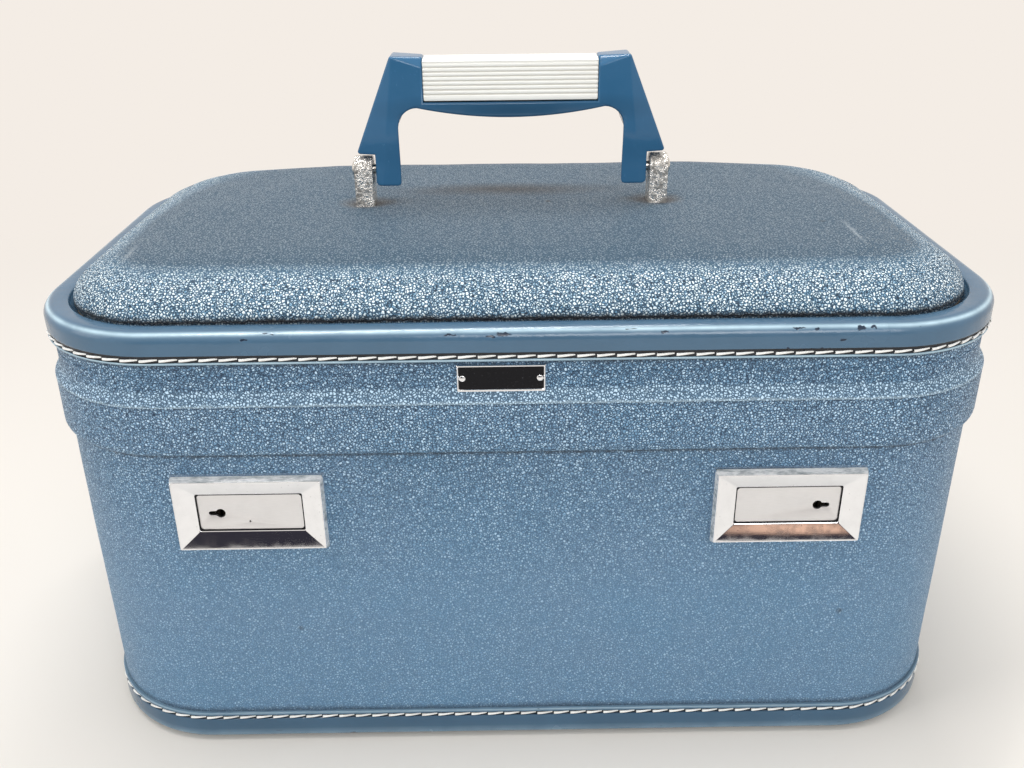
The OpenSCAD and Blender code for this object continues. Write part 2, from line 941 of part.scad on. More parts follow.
module handle_frame() {
    color("royalblue")
        translate([handle_shift, 0, pivot_z])
            difference() {
                union() {
                    intersection() {
                        both_sides() rotate([90, 0, 0])
                            linear_extrude(handle_d + 2, center = true) handle_half_outline();
                        rotate([90, 0, 90]) linear_extrude(200, center = true)
                            polygon([[-5, -6.1], [-6.5, -4], [-6.5, 7], [-handle_d/2, 14],
                                     [-handle_d/2, handle_h - 3], [-handle_d/2 + 2.5, handle_h + 0.1],
                                     [handle_d/2 - 2.5, handle_h + 0.1], [handle_d/2, handle_h - 3],
                                     [handle_d/2, 14], [6.5, 7], [6.5, -4], [5, -6.1]]);
                    }
                    block([-grip_half, -web_t/2, grip_low - pivot_z - 0.1],
                          [grip_half, web_t/2, web_high - pivot_z]);
                }
                rotate([0, 90, 0]) both_sides_z() translate([0, 0, lug_out - lug_w + lug_skin])
                    cylinder(r = handle_pin_r + fit, h = 30);
            }
}

// Places children on both sides along z, before they are turned to lie along x
module both_sides_z() {
    for (s = [0, 1]) mirror([0, 0, s]) children();
}

// Ribbed grip: cross-section with grooves down its front and back
module handle_grip() {
    n = 8;
    crown = 2.6;
    low = grip_low;
    high = grip_high;
    half = handle_d/2 - 0.2;
    color("ivory")
        translate([handle_shift, 0, 0]) rotate([90, 0, 90])
            linear_extrude(2*grip_half, center = true)
                difference() {
                    translate([0, low]) polygon(concat(
                        [[-half + 1.5, 0]],
                        [for (i = [0:6]) [-half + 1.5 - 1.5*sin(i*30/2), 1.5 - 1.5*cos(i*30/2)]],
                        [[-half, high - low - crown]],
                        arc_points(-half + crown, high - low - crown, crown, crown, 180, 90, 8),
                        arc_points(half - crown, high - low - crown, crown, crown, 90, 0, 8),
                        [for (i = [6:-1:0]) [half - 1.5 + 1.5*sin(i*30/2), 1.5 - 1.5*cos(i*30/2)]]));
                    translate([-web_t/2 - 0.1, low - 1])
                        square([web_t + 0.2, web_high + fit*4 + 1 - low]);
                    for (i = [0:n - 1], s = [-1, 1])
                        translate([s*half, low + 2.3 + i*1.72]) circle(0.36, $fn = 16);
                }
}

// ---------------------------------------------------------------- assembly

base_board();
body_shell();
body_cover();
base_binding();
base_stitching();
base_glides();
body_rim_band();
body_frame();
body_lining();
rear_pocket();
pocket_elastic();
tray_rail_front();
tray_rail_rear();
latch_bezel_left();
latch_bezel_right();
latch_case_left();
latch_case_right();
latch_slide_left();
latch_slide_right();
latch_spring_left();
latch_spring_right();
lock_barrel_left();
lock_barrel_right();
body_hinge_left();
body_hinge_right();
hinge_pin_left();
hinge_pin_right();
body_hinge_rivets();
stay_studs();
tray();
lid_shell();
lid_padding();
lid_top_cover();
lid_wall_cover();
lid_rim_band();
lid_frame();
lid_binding();
lid_stitching();
badge_plate();
badge_border();
badge_pins();
hasp_left();
hasp_right();
lid_lining();
mirror_glass();
mirror_frame();
lid_hinge_left();
lid_hinge_right();
lid_hinge_rivets();
stay_pivots();
stay_arm_left();
stay_arm_right();
handle_post_left();
handle_post_right();
post_washers();
handle_pin_left();
handle_pin_right();
handle_frame();
handle_grip();
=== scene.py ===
"""Looks of a round-cornered makeup train case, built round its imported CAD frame.

Lengths are millimetres unless a name says otherwise, in the frame's axes:
X along the case, Y from front to back, Z up. Meshes turn them into metres.
"""
from math import atan2, cos, exp, hypot, pi, radians, sin, tan

import bmesh
import bpy
from mathutils import Matrix, Vector, noise
from mathutils.geometry import tessellate_polygon


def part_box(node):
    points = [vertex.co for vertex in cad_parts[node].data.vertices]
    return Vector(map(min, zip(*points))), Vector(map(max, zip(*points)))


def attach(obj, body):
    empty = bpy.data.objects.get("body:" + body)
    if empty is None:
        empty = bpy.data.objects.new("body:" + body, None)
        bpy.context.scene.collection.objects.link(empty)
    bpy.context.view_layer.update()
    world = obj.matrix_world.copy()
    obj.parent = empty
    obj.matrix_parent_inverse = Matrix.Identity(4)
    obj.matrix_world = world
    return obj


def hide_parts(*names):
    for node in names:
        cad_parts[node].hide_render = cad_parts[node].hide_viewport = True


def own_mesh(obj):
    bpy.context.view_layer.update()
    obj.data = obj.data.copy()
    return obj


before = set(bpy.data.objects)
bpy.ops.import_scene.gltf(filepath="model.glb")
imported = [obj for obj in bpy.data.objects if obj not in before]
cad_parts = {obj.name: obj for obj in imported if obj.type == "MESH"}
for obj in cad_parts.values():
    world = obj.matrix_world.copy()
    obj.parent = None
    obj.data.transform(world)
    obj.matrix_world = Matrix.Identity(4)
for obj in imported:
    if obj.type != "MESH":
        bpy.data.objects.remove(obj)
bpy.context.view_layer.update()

MM = 0.001


def linked(name, data):
    """A new object in the scene that shows some data."""
    item = bpy.data.objects.new(name, data)
    bpy.context.collection.objects.link(item)
    return item


# ------------------------------------------------------------ camera

CAMERA_PLACE = (-5.7, -415.6, 307.9)
CAMERA_DOWN = radians(25.38)
CAMERA_RIGHT = 0.007
CAMERA_ROLL = -0.0104
LENS_MM = 35.51

camera_data = bpy.data.cameras.new("camera")
camera_data.lens = LENS_MM
camera_data.sensor_width = 36
camera_data.sensor_fit = "HORIZONTAL"
camera_data.clip_start = 0.01
camera = linked("camera", camera_data)
camera.matrix_world = (
    Matrix.Translation(Vector(CAMERA_PLACE) * MM)
    @ Matrix.Rotation(-CAMERA_RIGHT, 4, "Z")
    @ Matrix.Rotation(pi / 2 - CAMERA_DOWN, 4, "X")
    @ Matrix.Rotation(CAMERA_ROLL, 4, "Z")
)
bpy.context.scene.camera = camera

# ------------------------------------------------------------ sizes taken from the frame


def span(node):
    """Lowest and highest corners of a CAD node, in millimetres."""
    low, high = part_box(node)
    return low / MM, high / MM


def middle_x(box):
    return (box[0].x + box[1].x) / 2


WALL = span("body_cover")
HALF_W = WALL[1].x
HALF_D = WALL[1].y
CORNER_R = 48.0
BINDING = span("lid_binding")
RIM_Z = BINDING[1].z
BIND_LOW = BINDING[0].z
BIND_OUT = BINDING[1].x - HALF_W
BASE = span("base_binding")
BASE_OUT = BASE[1].x - HALF_W
BASE_TOP = BASE[1].z
FOOT_Z = BASE[0].z
BODY_BAND = span("body_rim_band")
LID_BAND = span("lid_rim_band")
BAND_LOW = BODY_BAND[0].z
BAND_OUT = BODY_BAND[1].x - HALF_W
SEAM = (BODY_BAND[1].z + LID_BAND[0].z) / 2
SEAM_LOW = SEAM - 0.05
SEAM_HIGH = SEAM + 0.05
PAD_TOP = LID_BAND[1].z
TOP_COVER = span("lid_top_cover")
DOME_Z = TOP_COVER[1].z
BOARD_TOP = TOP_COVER[0].z
DOME_IN = HALF_W - TOP_COVER[1].x
DOME_SHOULDER = 34.0
SPRING_Z = RIM_Z - 1.2
HINGE = span("hinge_pin_left")
HINGE_X = -middle_x(HINGE)
HINGE_HALF = (HINGE[1].x - HINGE[0].x) / 2
SIDES = ((-1, "left"), (1, "right"))
POSTS = {side: span(f"handle_post_{name}") for side, name in SIDES}
POST_W = POSTS[1][1].x - POSTS[1][0].x
POST_D = POSTS[1][1].y - POSTS[1][0].y
PIVOT_Z = POSTS[1][1].z - POST_D / 2
HANDLE = span("handle_frame")
HANDLE_X = middle_x(HANDLE)
HANDLE_TOP = HANDLE[1].z - PIVOT_Z
HANDLE_FOOT = HANDLE[0].z - PIVOT_Z
HANDLE_HALF = HANDLE[1].y
GRIP = span("handle_grip")
BEZELS = {side: span(f"latch_bezel_{name}") for side, name in SIDES}
LATCH_Z = (BEZELS[1][0].z + BEZELS[1][1].z) / 2
BEZEL_W = BEZELS[1][1].x - BEZELS[1][0].x
BEZEL_H = BEZELS[1][1].z - BEZELS[1][0].z
BEZEL_OUT = -HALF_D - BEZELS[1][0].y
BADGE = span("badge_border")
POST_XS = [middle_x(POSTS[side]) for side in (-1, 1)]

# ------------------------------------------------------------ shapes


def wave(point, size, seed=0.0):
    """Smooth noise from about -1 to 1, with features size mm across."""
    return noise.noise(Vector(point) / size + Vector((seed, 2.7 * seed, 0)))


def clamp(value):
    return max(0, min(1, value))


def hump(value, middle, width):
    """1 at the middle, falling off smoothly over a width."""
    return exp(-(((value - middle) / width) ** 2))


def arc(cx, cy, rx, ry, start, end, steps):
    """Points of an elliptical arc, its angles in degrees."""
    turns = [radians(start + (end - start) * i / steps) for i in range(steps + 1)]
    return [(cx + rx * cos(a), cy + ry * sin(a)) for a in turns]


def run(start, end, step):
    """Points along a straight line, about step apart, both ends included."""
    count = max(1, round(hypot(end[0] - start[0], end[1] - start[1]) / step))
    return [
        (start[0] + (end[0] - start[0]) * i / count, start[1] + (end[1] - start[1]) * i / count)
        for i in range(count + 1)
    ]


def rounded(corners, steps=6):
    """Outline through (x, y, radius) corners, each rounded to its radius."""
    outline = []
    for i, (x, y, radius) in enumerate(corners):
        here = Vector((x, y))
        if radius == 0:
            outline.append((x, y))
            continue
        back = (Vector(corners[i - 1][:2]) - here).normalized()
        ahead = (Vector(corners[(i + 1) % len(corners)][:2]) - here).normalized()
        half = back.angle(ahead) / 2
        centre = here + (back + ahead).normalized() * (radius / sin(half))
        first = here + back * (radius / tan(half)) - centre
        last = here + ahead * (radius / tan(half)) - centre
        start = atan2(first.y, first.x)
        turn = (atan2(last.y, last.x) - start + pi) % (2 * pi) - pi
        for k in range(steps + 1):
            a = start + turn * k / steps
            outline.append((centre.x + radius * cos(a), centre.y + radius * sin(a)))
    return outline


def panel(w, h, radius, steps=6):
    """Outline of a rounded rectangle centred on the origin."""
    signs = [(-1, -1), (1, -1), (1, 1), (-1, 1)]
    return rounded([(sx * w / 2, sy * h / 2, radius) for sx, sy in signs], steps)


def stations(step=4.0, corner_steps=22):
    """(point on the wall face, outward normal) round the case, anticlockwise from above."""
    half_x = HALF_W - CORNER_R
    half_y = HALF_D - CORNER_R
    centres = [(half_x, half_y), (-half_x, half_y), (-half_x, -half_y), (half_x, -half_y)]
    path = []
    for quarter, (cx, cy) in enumerate(centres):
        for i in range(corner_steps + 1):
            a = pi / 2 * (quarter + i / corner_steps)
            out = Vector((cos(a), sin(a), 0))
            path.append((Vector((cx, cy, 0)) + out * CORNER_R, out))
        side = 2 * (half_x if quarter % 2 == 0 else half_y)
        count = round(side / step)
        start, out = path[-1]
        ahead = Vector((-out.y, out.x, 0))
        path += [(start + ahead * side * i / count, out) for i in range(1, count)]
    return path


PATH = stations()


def lap(out, z):
    """(point, outward normal) once round the case, at a distance out and a height."""
    return [(base + normal * out + Vector((0, 0, z)), normal) for base, normal in PATH]


def sweep(profile, shift):
    """Closed cross-section of (distance out from the wall, height) points, carried
    round the case. shift(point, out, z) says how much further out a point goes."""
    rows = [
        [point + normal * shift(point, out, z) for point, normal in lap(out, z)]
        for out, z in profile
    ]
    return loops(rows, close=True)


def lathe(profile, steps=32):
    """Solid of revolution about Z from (radius, height) points; radius 0 closes an end."""
    points, rows, faces = [], [], []
    for radius, z in profile:
        around = 1 if radius == 0 else steps
        rows.append([len(points) + k for k in range(around)])
        for k in range(around):
            a = 2 * pi * k / steps
            points.append(Vector((radius * cos(a), radius * sin(a), z)))
    for low, high in zip(rows, rows[1:]):
        for k in range(steps):
            m = (k + 1) % steps
            corners = [row[i % len(row)] for row, i in ((low, k), (low, m), (high, m), (high, k))]
            faces.append(tuple(dict.fromkeys(corners)))
    return points, faces


def loops(rows, close=False):
    """Skin over a row of outlines that have the same number of points."""
    count = len(rows[0])
    faces = []
    last = len(rows) if close else len(rows) - 1
    for i in range(last):
        j = (i + 1) % len(rows)
        for k in range(count):
            m = (k + 1) % count
            faces.append((i * count + k, i * count + m, j * count + m, j * count + k))
    return [Vector(p) for row in rows for p in row], faces


def rings(steps, corner_steps=3):
    """Closed skin through rounded rectangles of (width, height, corner radius, z, y)."""
    rows = [
        [(x, y + up, z) for x, y in panel(w, h, radius, corner_steps)]
        for w, h, radius, z, up in steps
    ]
    return loops(rows, close=True)


def capped(shape, count):
    """A shape of open loops with its first and last outlines filled."""
    points, faces = shape
    last = len(points) - 1
    return points, faces + [tuple(range(count)), tuple(range(last, last - count, -1))]


def inset(outline, distance):
    """An outline drawn anticlockwise, moved inwards by a distance."""
    result = []
    for i, corner in enumerate(outline):
        here = Vector(corner)
        back = (here - Vector(outline[i - 1])).normalized()
        ahead = (Vector(outline[(i + 1) % len(outline)]) - here).normalized()
        inwards = Vector((-back.y - ahead.y, back.x + ahead.x))
        result.append(here + inwards * (distance / (1 + back.dot(ahead))))
    return result


def slab(outline, thickness, ease, steps=3):
    """An outline drawn anticlockwise, given a thickness about Z = 0 and rounded edges."""
    turns = [pi / 2 * k / steps for k in range(steps + 1)]
    low = [(ease * (1 - sin(t)), ease * (1 - cos(t)) - thickness / 2) for t in turns]
    levels = low + [(distance, -z) for distance, z in reversed(low)]
    rows = [[(x, y, z) for x, y in inset(outline, distance)] for distance, z in levels]
    points, faces = loops(rows)
    side = tessellate_polygon([[Vector((x, y, 0)) for x, y in outline]])
    for first in (0, len(points) - len(outline)):
        faces += [tuple(first + corner for corner in corners) for corners in side]
    return points, faces


def taken_out(mesh):
    """The points and faces of a mesh that isn't needed any longer."""
    shape = [v.co / MM for v in mesh.vertices], [tuple(p.vertices) for p in mesh.polygons]
    bpy.data.meshes.remove(mesh)
    return shape


def sheet_metal(outlines, thickness, bevel, steps=2):
    """Filled outlines in the XY plane, given a thickness about Z = 0 and eased edges.
    Later outlines are holes in the first."""
    curve = bpy.data.curves.new("outline", "CURVE")
    curve.dimensions = "2D"
    curve.fill_mode = "BOTH"
    curve.extrude = (thickness / 2 - bevel) * MM
    curve.bevel_depth = bevel * MM
    curve.bevel_resolution = steps
    curve.offset = -bevel * MM
    for outline in outlines:
        spline = curve.splines.new("POLY")
        spline.points.add(len(outline) - 1)
        spline.use_cyclic_u = True
        for point, (x, y) in zip(spline.points, outline):
            point.co = (x * MM, y * MM, 0, 1)
    holder = linked("outline", curve)
    graph = bpy.context.evaluated_depsgraph_get()
    mesh = bpy.data.meshes.new_from_object(holder.evaluated_get(graph))
    bpy.data.objects.remove(holder)
    bpy.data.curves.remove(curve)
    return taken_out(mesh)


def drained(bm):
    """The points and faces of a bmesh, which is then freed."""
    bm.verts.index_update()
    points = [v.co.copy() for v in bm.verts]
    faces = [tuple(v.index for v in f.verts) for f in bm.faces]
    bm.free()
    return points, faces


def brick(low, high, bevel=0.25):
    """Box between two corners with bevelled edges."""
    bm = bmesh.new()
    bmesh.ops.create_cube(bm, size=1)
    low, high = Vector(low), Vector(high)
    for v in bm.verts:
        v.co = Vector(((low + high)[i] / 2 + v.co[i] * (high - low)[i] for i in range(3)))
    if bevel:
        bmesh.ops.bevel(
            bm, geom=bm.edges[:], offset=bevel, segments=2, profile=0.5, affect="EDGES"
        )
    return drained(bm)


def moved(shape, change):
    """A shape with its points passed through a matrix or a function."""
    points, faces = shape
    if isinstance(change, Matrix):
        return [change @ Vector(p) for p in points], faces
    return [Vector(change(p)) for p in points], faces


def joined(*shapes):
    """Several shapes as one."""
    points, faces = [], []
    for more_points, more_faces in shapes:
        start = len(points)
        points += [Vector(p) for p in more_points]
        faces += [tuple(i + start for i in face) for face in more_faces]
    return points, faces


def standing(y=0.0):
    """Turns a shape drawn in XY to stand in XZ, its +Z face towards the front."""
    return Matrix.Translation((0, y, 0)) @ Matrix.Rotation(pi / 2, 4, "X")


def along_x(x=0.0):
    """Turns a shape drawn in XY to lie in YZ, its +Z face towards +X."""
    turn = Matrix(((0, 0, 1, 0), (1, 0, 0, 0), (0, 1, 0, 0), (0, 0, 0, 1)))
    return Matrix.Translation((x, 0, 0)) @ turn


# ------------------------------------------------------------ pieces


def apply_modifiers(piece):
    """Makes a piece's modifiers part of its mesh."""
    bpy.context.view_layer.update()
    graph = bpy.context.evaluated_depsgraph_get()
    mesh = bpy.data.meshes.new_from_object(piece.evaluated_get(graph))
    old = piece.data
    piece.modifiers.clear()
    piece.data = mesh
    bpy.data.meshes.remove(old)


def tidy(mesh, merge=0.005):
    """Merges doubled points, drops empty faces and turns every face outwards."""
    bm = bmesh.new()
    bm.from_mesh(mesh)
    bmesh.ops.remove_doubles(bm, verts=bm.verts[:], dist=merge * MM)
    bmesh.ops.dissolve_degenerate(bm, edges=bm.edges[:], dist=merge * MM / 10)
    bmesh.ops.recalc_face_normals(bm, faces=bm.faces[:])
    bm.to_mesh(mesh)
    bm.free()


def placed(name, shape):
    """An object in the scene made from a shape."""
    points, faces = shape
    mesh = bpy.data.meshes.new(name)
    mesh.from_pydata([Vector(p) * MM for p in points], [], faces)
    tidy(mesh)
    return linked(name, mesh)


def make(name, shape, finish, body, replaces=(), crease=40, weighted=False):
    """One piece of the model: its mesh, finish, body and the CAD nodes it stands for."""
    piece = placed(name, shape)
    piece.data.materials.append(looks[finish])
    piece.data.shade_smooth()
    piece.data.set_sharp_from_angle(angle=radians(crease))
    if weighted:
        even = piece.modifiers.new("even", "WEIGHTED_NORMAL")
        even.keep_sharp = True
        apply_modifiers(piece)
    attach(piece, body)
    if replaces:
        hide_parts(*replaces)
    return piece


def cut(piece, shape):
    """Takes a closed shape away from a piece."""
    cutter = placed("cutter", shape)
    take = piece.modifiers.new("cut", "BOOLEAN")
    take.operation = "DIFFERENCE"
    take.solver = "EXACT"
    take.object = cutter
    apply_modifiers(piece)
    mesh = cutter.data
    bpy.data.objects.remove(cutter)
    bpy.data.meshes.remove(mesh)


# ------------------------------------------------------------ materials


def toned(colour, factor):
    return tuple(c * factor for c in colour)


class Nodes:
    """A node tree. Each method adds nodes and returns their output socket."""

    def __init__(self, tree, coordinates):
        self.tree = tree
        self.place = self.node("ShaderNodeTexCoord").outputs[coordinates]

    def node(self, kind, **settings):
        made = self.tree.nodes.new(kind)
        for key, value in settings.items():
            setattr(made, key, value)
        return made

    def feed(self, value, socket):
        """Links a socket, or writes a constant on it."""
        if isinstance(value, bpy.types.NodeSocket):
            self.tree.links.new(value, socket)
        elif isinstance(value, tuple) and socket.type == "RGBA":
            socket.default_value = (*value, 1)
        else:
            socket.default_value = value

    def math(self, operation, a, b=0.0, clamp=False):
        made = self.node("ShaderNodeMath", operation=operation, use_clamp=clamp)
        self.feed(a, made.inputs[0])
        self.feed(b, made.inputs[1])
        return made.outputs[0]

    def times(self, a, b):
        return self.math("MULTIPLY", a, b)

    def vector(self, operation, a, b=(0.0, 0.0, 0.0)):
        made = self.node("ShaderNodeVectorMath", operation=operation)
        self.feed(a, made.inputs[0])
        self.feed(b, made.inputs[1])
        return made.outputs["Value" if operation == "LENGTH" else "Vector"]

    def noise(self, size, detail=2.0, rough=0.5, place=None, stretch=None):
        """Cloudy noise from 0 to 1 with features about size mm across."""
        if stretch:
            place = self.vector("MULTIPLY", place or self.place, stretch)
        made = self.node("ShaderNodeTexNoise")
        self.feed(place or self.place, made.inputs["Vector"])
        made.inputs["Scale"].default_value = 1 / (size * MM)
        made.inputs["Detail"].default_value = detail
        made.inputs["Roughness"].default_value = rough
        return made.outputs["Fac"]

    def scatter(self, size, amount):
        """The coordinates, pushed about by up to amount mm in a pattern of size mm."""
        made = self.node("ShaderNodeTexNoise")
        self.feed(self.place, made.inputs["Vector"])
        made.inputs["Scale"].default_value = 1 / (size * MM)
        made.inputs["Detail"].default_value = 1
        push = self.vector("SUBTRACT", made.outputs["Color"], (0.5, 0.5, 0.5))
        push = self.vector("MULTIPLY", push, (2 * amount * MM,) * 3)
        return self.vector("ADD", self.place, push)

    def cells(self, size, place=None, feature="F1", smooth=None):
        """Distance to the middle of the nearest cell, in cells of about size mm."""
        made = self.node("ShaderNodeTexVoronoi", feature=feature)
        self.feed(place or self.place, made.inputs["Vector"])
        made.inputs["Scale"].default_value = 1 / (size * MM)
        if smooth is not None:
            made.inputs["Smoothness"].default_value = smooth
        return made.outputs["Distance"]

    def scale(self, value, low, high, to_low=0.0, to_high=1.0):
        """Maps low..high to to_low..to_high and holds it there beyond them."""
        made = self.node("ShaderNodeMapRange")
        for socket, item in zip(made.inputs, (value, low, high, to_low, to_high)):
            self.feed(item, socket)
        return made.outputs[0]

    def mix(self, factor, a, b):
        made = self.node("ShaderNodeMix", data_type="RGBA")
        self.feed(factor, made.inputs["Factor"])
        self.feed(a, made.inputs[6])
        self.feed(b, made.inputs[7])
        return made.outputs[2]

    def axis(self, letter):
        """One coordinate in the object's own space, in millimetres."""
        made = self.node("ShaderNodeSeparateXYZ")
        self.feed(self.place, made.inputs[0])
        return self.times(made.outputs[letter], 1 / MM)

    def spot(self, centre, reach, edge=0.0, place=None, unit=MM):
        """1 at a place, falling to 0 at reach units along each axis."""
        away = self.vector("SUBTRACT", place or self.place, toned(centre, unit))
        away = self.vector("DIVIDE", away, toned(reach, unit))
        return self.scale(self.vector("LENGTH", away), edge, 1.0, 1.0, 0.0)

    def bump(self, height, depth, strength=1.0, over=None):
        """Normal of a height from 0 to 1 that is depth mm tall."""
        made = self.node("ShaderNodeBump")
        made.inputs["Strength"].default_value = strength
        made.inputs["Distance"].default_value = depth * MM
        self.feed(height, made.inputs["Height"])
        if over:
            self.feed(over, made.inputs["Normal"])
        return made.outputs["Normal"]

    def attribute(self, name):
        return self.node("ShaderNodeAttribute", attribute_name=name).outputs["Fac"]

    def seen_directly(self):
        """1 for rays from the camera, a mirror or clear glass, and 0 for the light's own."""
        rays = self.node("ShaderNodeLightPath").outputs
        seen = self.math("MAXIMUM", rays["Is Camera Ray"], rays["Is Glossy Ray"])
        return self.math("MAXIMUM", seen, rays["Is Transmission Ray"])


class Look(Nodes):
    """A procedural material with one Principled shader."""

    def __init__(self, name, **inputs):
        self.material = bpy.data.materials.new(name)
        self.material.use_nodes = True
        super().__init__(self.material.node_tree, "Object")
        self.shader = self.tree.nodes["Principled BSDF"]
        self.set(**inputs)

    def set(self, **inputs):
        """Feeds the shader's inputs, named with underscores, and returns the material."""
        for key, value in inputs.items():
            self.feed(value, self.shader.inputs[key.replace("_", " ")])
        return self.material


    def finish(self, colour, gloss, height, depth, strength, **inputs):
        """Sets the colour, roughness and bump, and returns the material."""
        normal = self.bump(height, depth, strength)
        return self.set(Base_Color=colour, Roughness=gloss, Normal=normal, **inputs)


# Noise thresholds that pick which pebble tips get painted glints
GLINT_THRESHOLDS = (0.475, 0.565)


def grained_vinyl(
    name, blue, gap_shade, glint_colour, marks=(), top=None, highlight_at=None, calm=None, glint_thresholds=GLINT_THRESHOLDS
):
    """Pebble-grained vinyl: painted shade in the gaps between pebbles and painted glints on some
    pebble tips. marks are (centre, reach, colour, amount).
    """
    look = Look(name)
    pushed = look.scatter(1.1, 0.42)
    pebble = look.scale(look.cells(PEBBLE, pushed, "DISTANCE_TO_EDGE"), 0.0, 0.26)
    fine = look.noise(0.45, 2)
    height = look.math("ADD", look.times(pebble, 0.9), look.times(fine, 0.5))
    patch = look.scale(look.noise(45, 3, 0.6), 0.35, 0.65)
    colour = look.mix(patch, blue, tuple(c * s for c, s in zip(blue, (1.10, 1.0, 0.98))))
    grain = 1.0
    # calm: fewer painted glints and less painted gap shade lower down
    if calm:
        grain = look.scale(look.axis("Z"), *calm, 0.4, 1.0)
    # Painted sheen: a greyer top with fewer painted glints
    if top:
        sheen_grey, low, high = top
        smooth = look.scale(look.axis("Z"), low, high)
        colour = look.mix(smooth, colour, sheen_grey)
        grain = look.scale(smooth, 0, 1, 1.0, 0.2)
    # Painted shade in the gaps between pebbles
    gap_shade_mask = look.times(look.scale(pebble, 0.05, 0.62, 1.0, 0.0), grain)
    colour = look.mix(gap_shade_mask, colour, gap_shade)
    # Painted glints: pale tips on some pebbles, scaled by grain
    glints_and_streaks = look.scale(look.noise(0.9, 2, 0.6), *glint_thresholds)
    # Painted highlight on the flare: paler colour and more glints where it faces up
    if highlight_at:
        pale = look.spot(*highlight_at, 0.5)
        colour = look.mix(look.times(pale, 0.2), colour, (0.27, 0.42, 0.55))
        glints_and_streaks = look.math("ADD", glints_and_streaks, pale, True)
    glints_and_streaks = look.times(glints_and_streaks, look.scale(pebble, 0.55, 0.95))
    colour = look.mix(look.times(glints_and_streaks, grain), colour, glint_colour)
    torn = look.scatter(2.5, 0.9)
    for centre, reach, marking, amount in marks:
        mask = look.times(look.spot(centre, reach, 0.15, torn), amount)
        colour = look.mix(mask, colour, marking)
    gloss = look.scale(pebble, 0.0, 1.0, 0.6, 0.3)
    return look.finish(colour, gloss, height, 0.34, 0.9)


def smooth_binding(name, face, nick, lightening, cuts=()):
    """Smooth vinyl strip: pale where the mesh's wear attribute says (on the lid binding a painted
    highlight along its ridge and lip), and near black where a second attribute marks the stitching
    groove, a painted shade. cuts are (centre, reach) of nicks."""
    look = Look(name)
    cloud = look.scale(look.noise(28, 3, 0.6), 0.35, 0.68)
    colour = look.mix(cloud, face, toned(face, 1.15))
    # On the lid binding the wear attribute is a painted highlight along the ridge and lip
    ridge = look.attribute("wear")
    streaks = look.scale(look.noise(7, 3, 0.6, stretch=(0.5, 0.5, 1)), 0.25, 0.6, 0.55, 1.0)
    colour = look.mix(look.times(streaks, ridge), colour, lightening)
    chips = look.scale(look.noise(3.2, 2, 0.55, stretch=(0.35, 0.35, 1.6)), 0.70, 0.72)
    chips = look.times(chips, look.scale(ridge, 0.1, 0.4))
    torn = look.scatter(1.6, 0.8)
    for centre, reach in cuts:
        chips = look.math("MAXIMUM", chips, look.spot(centre, reach, 0.75, torn))
    colour = look.mix(chips, colour, nick)
    # Near black in the stitching groove: painted shade
    colour = look.mix(look.attribute("groove_shade"), colour, (0.006, 0.009, 0.014))
    skin = look.noise(1.1, 2)
    dents = look.scale(look.noise(6, 3, 0.6), 0.3, 0.6)
    height = look.math("ADD", look.times(skin, 0.12), dents)
    height = look.math("SUBTRACT", height, chips)
    gloss = look.scale(look.noise(14, 3), 0.3, 0.7, 0.16, 0.28)
    return look.finish(colour, gloss, height, 0.09, 0.8)


def thread(name, colour, shade):
    """Twisted cotton thread: fine slanted strands with grime between them."""
    look = Look(name)
    strands = look.noise(0.22, 1, stretch=(1, 1, 2.5))
    marking = look.scale(look.noise(5, 3, 0.6), 0.45, 0.8)
    tint = look.mix(look.times(marking, 0.5), colour, shade)
    tint = look.mix(look.scale(strands, 0.55, 0.3, 0.0, 0.5), tint, shade)
    return look.finish(tint, 0.7, strands, 0.09, 0.7, Sheen_Weight=0.2)


def polished_metal(name, colour, rough, wear=0.35):
    """Plated metal with faint haze, hairline scratches and small pits."""
    look = Look(name, Metallic=1.0)
    haze = look.scale(look.noise(7, 4, 0.65), 0.42, 0.75)
    hair = look.noise(0.5, 2, 0.7, stretch=(0.08, 1, 1))
    pits = look.scale(look.cells(2.6), 0.05, 0.09, 1.0, 0.0)
    tint = look.mix(look.times(haze, 0.25), colour, toned(colour, 0.72))
    tint = look.mix(look.times(pits, wear), tint, (0.16, 0.14, 0.12))
    gloss = look.scale(haze, 0.0, 1.0, rough, rough + 0.12)
    height = look.math("SUBTRACT", look.times(hair, 0.4), look.times(pits, wear))
    return look.finish(tint, gloss, height, 0.015, 0.5)


def brushed_metal(name, colour, rough, stretch, metallic=1.0, streak=None):
    """Metal with a fine grain drawn out along one axis, and broad streaks of wear."""
    look = Look(name, Metallic=metallic)
    grain = look.noise(0.35, 3, 0.7, stretch=stretch)
    cloud = look.scale(look.noise(12, 3, 0.6), 0.35, 0.7)
    tint = look.mix(look.times(cloud, 0.3), colour, toned(colour, 0.8))
    tint = look.mix(look.scale(grain, 0.35, 0.65, 0.0, 0.12), tint, toned(colour, 0.7))
    if streak:
        glints_and_streaks = look.scale(look.noise(2.2, 4, 0.7, stretch=(0.3, 1, 1.3)), 0.42, 0.66, 0.0, 0.8)
        tint = look.mix(glints_and_streaks, tint, streak)
    gloss = look.scale(grain, 0.3, 0.7, rough - 0.05, rough + 0.07)
    return look.finish(tint, gloss, grain, 0.02, 0.4)


def pitted_nickel(name, clean, stain):
    """Old nickel plate with blistered, stained pitting."""
    look = Look(name, Metallic=0.9)
    blister = look.scale(look.noise(1.3, 4, 0.65), 0.4, 0.62)
    stains = look.scale(look.noise(2.4, 3, 0.65), 0.47, 0.60)
    tint = look.mix(look.times(stains, 0.6), clean, stain)
    height = look.math("ADD", blister, look.times(look.noise(0.4, 2), 0.5))
    gloss = look.scale(stains, 0.0, 1.0, 0.14, 0.5)
    return look.finish(tint, gloss, height, 0.26, 0.8)


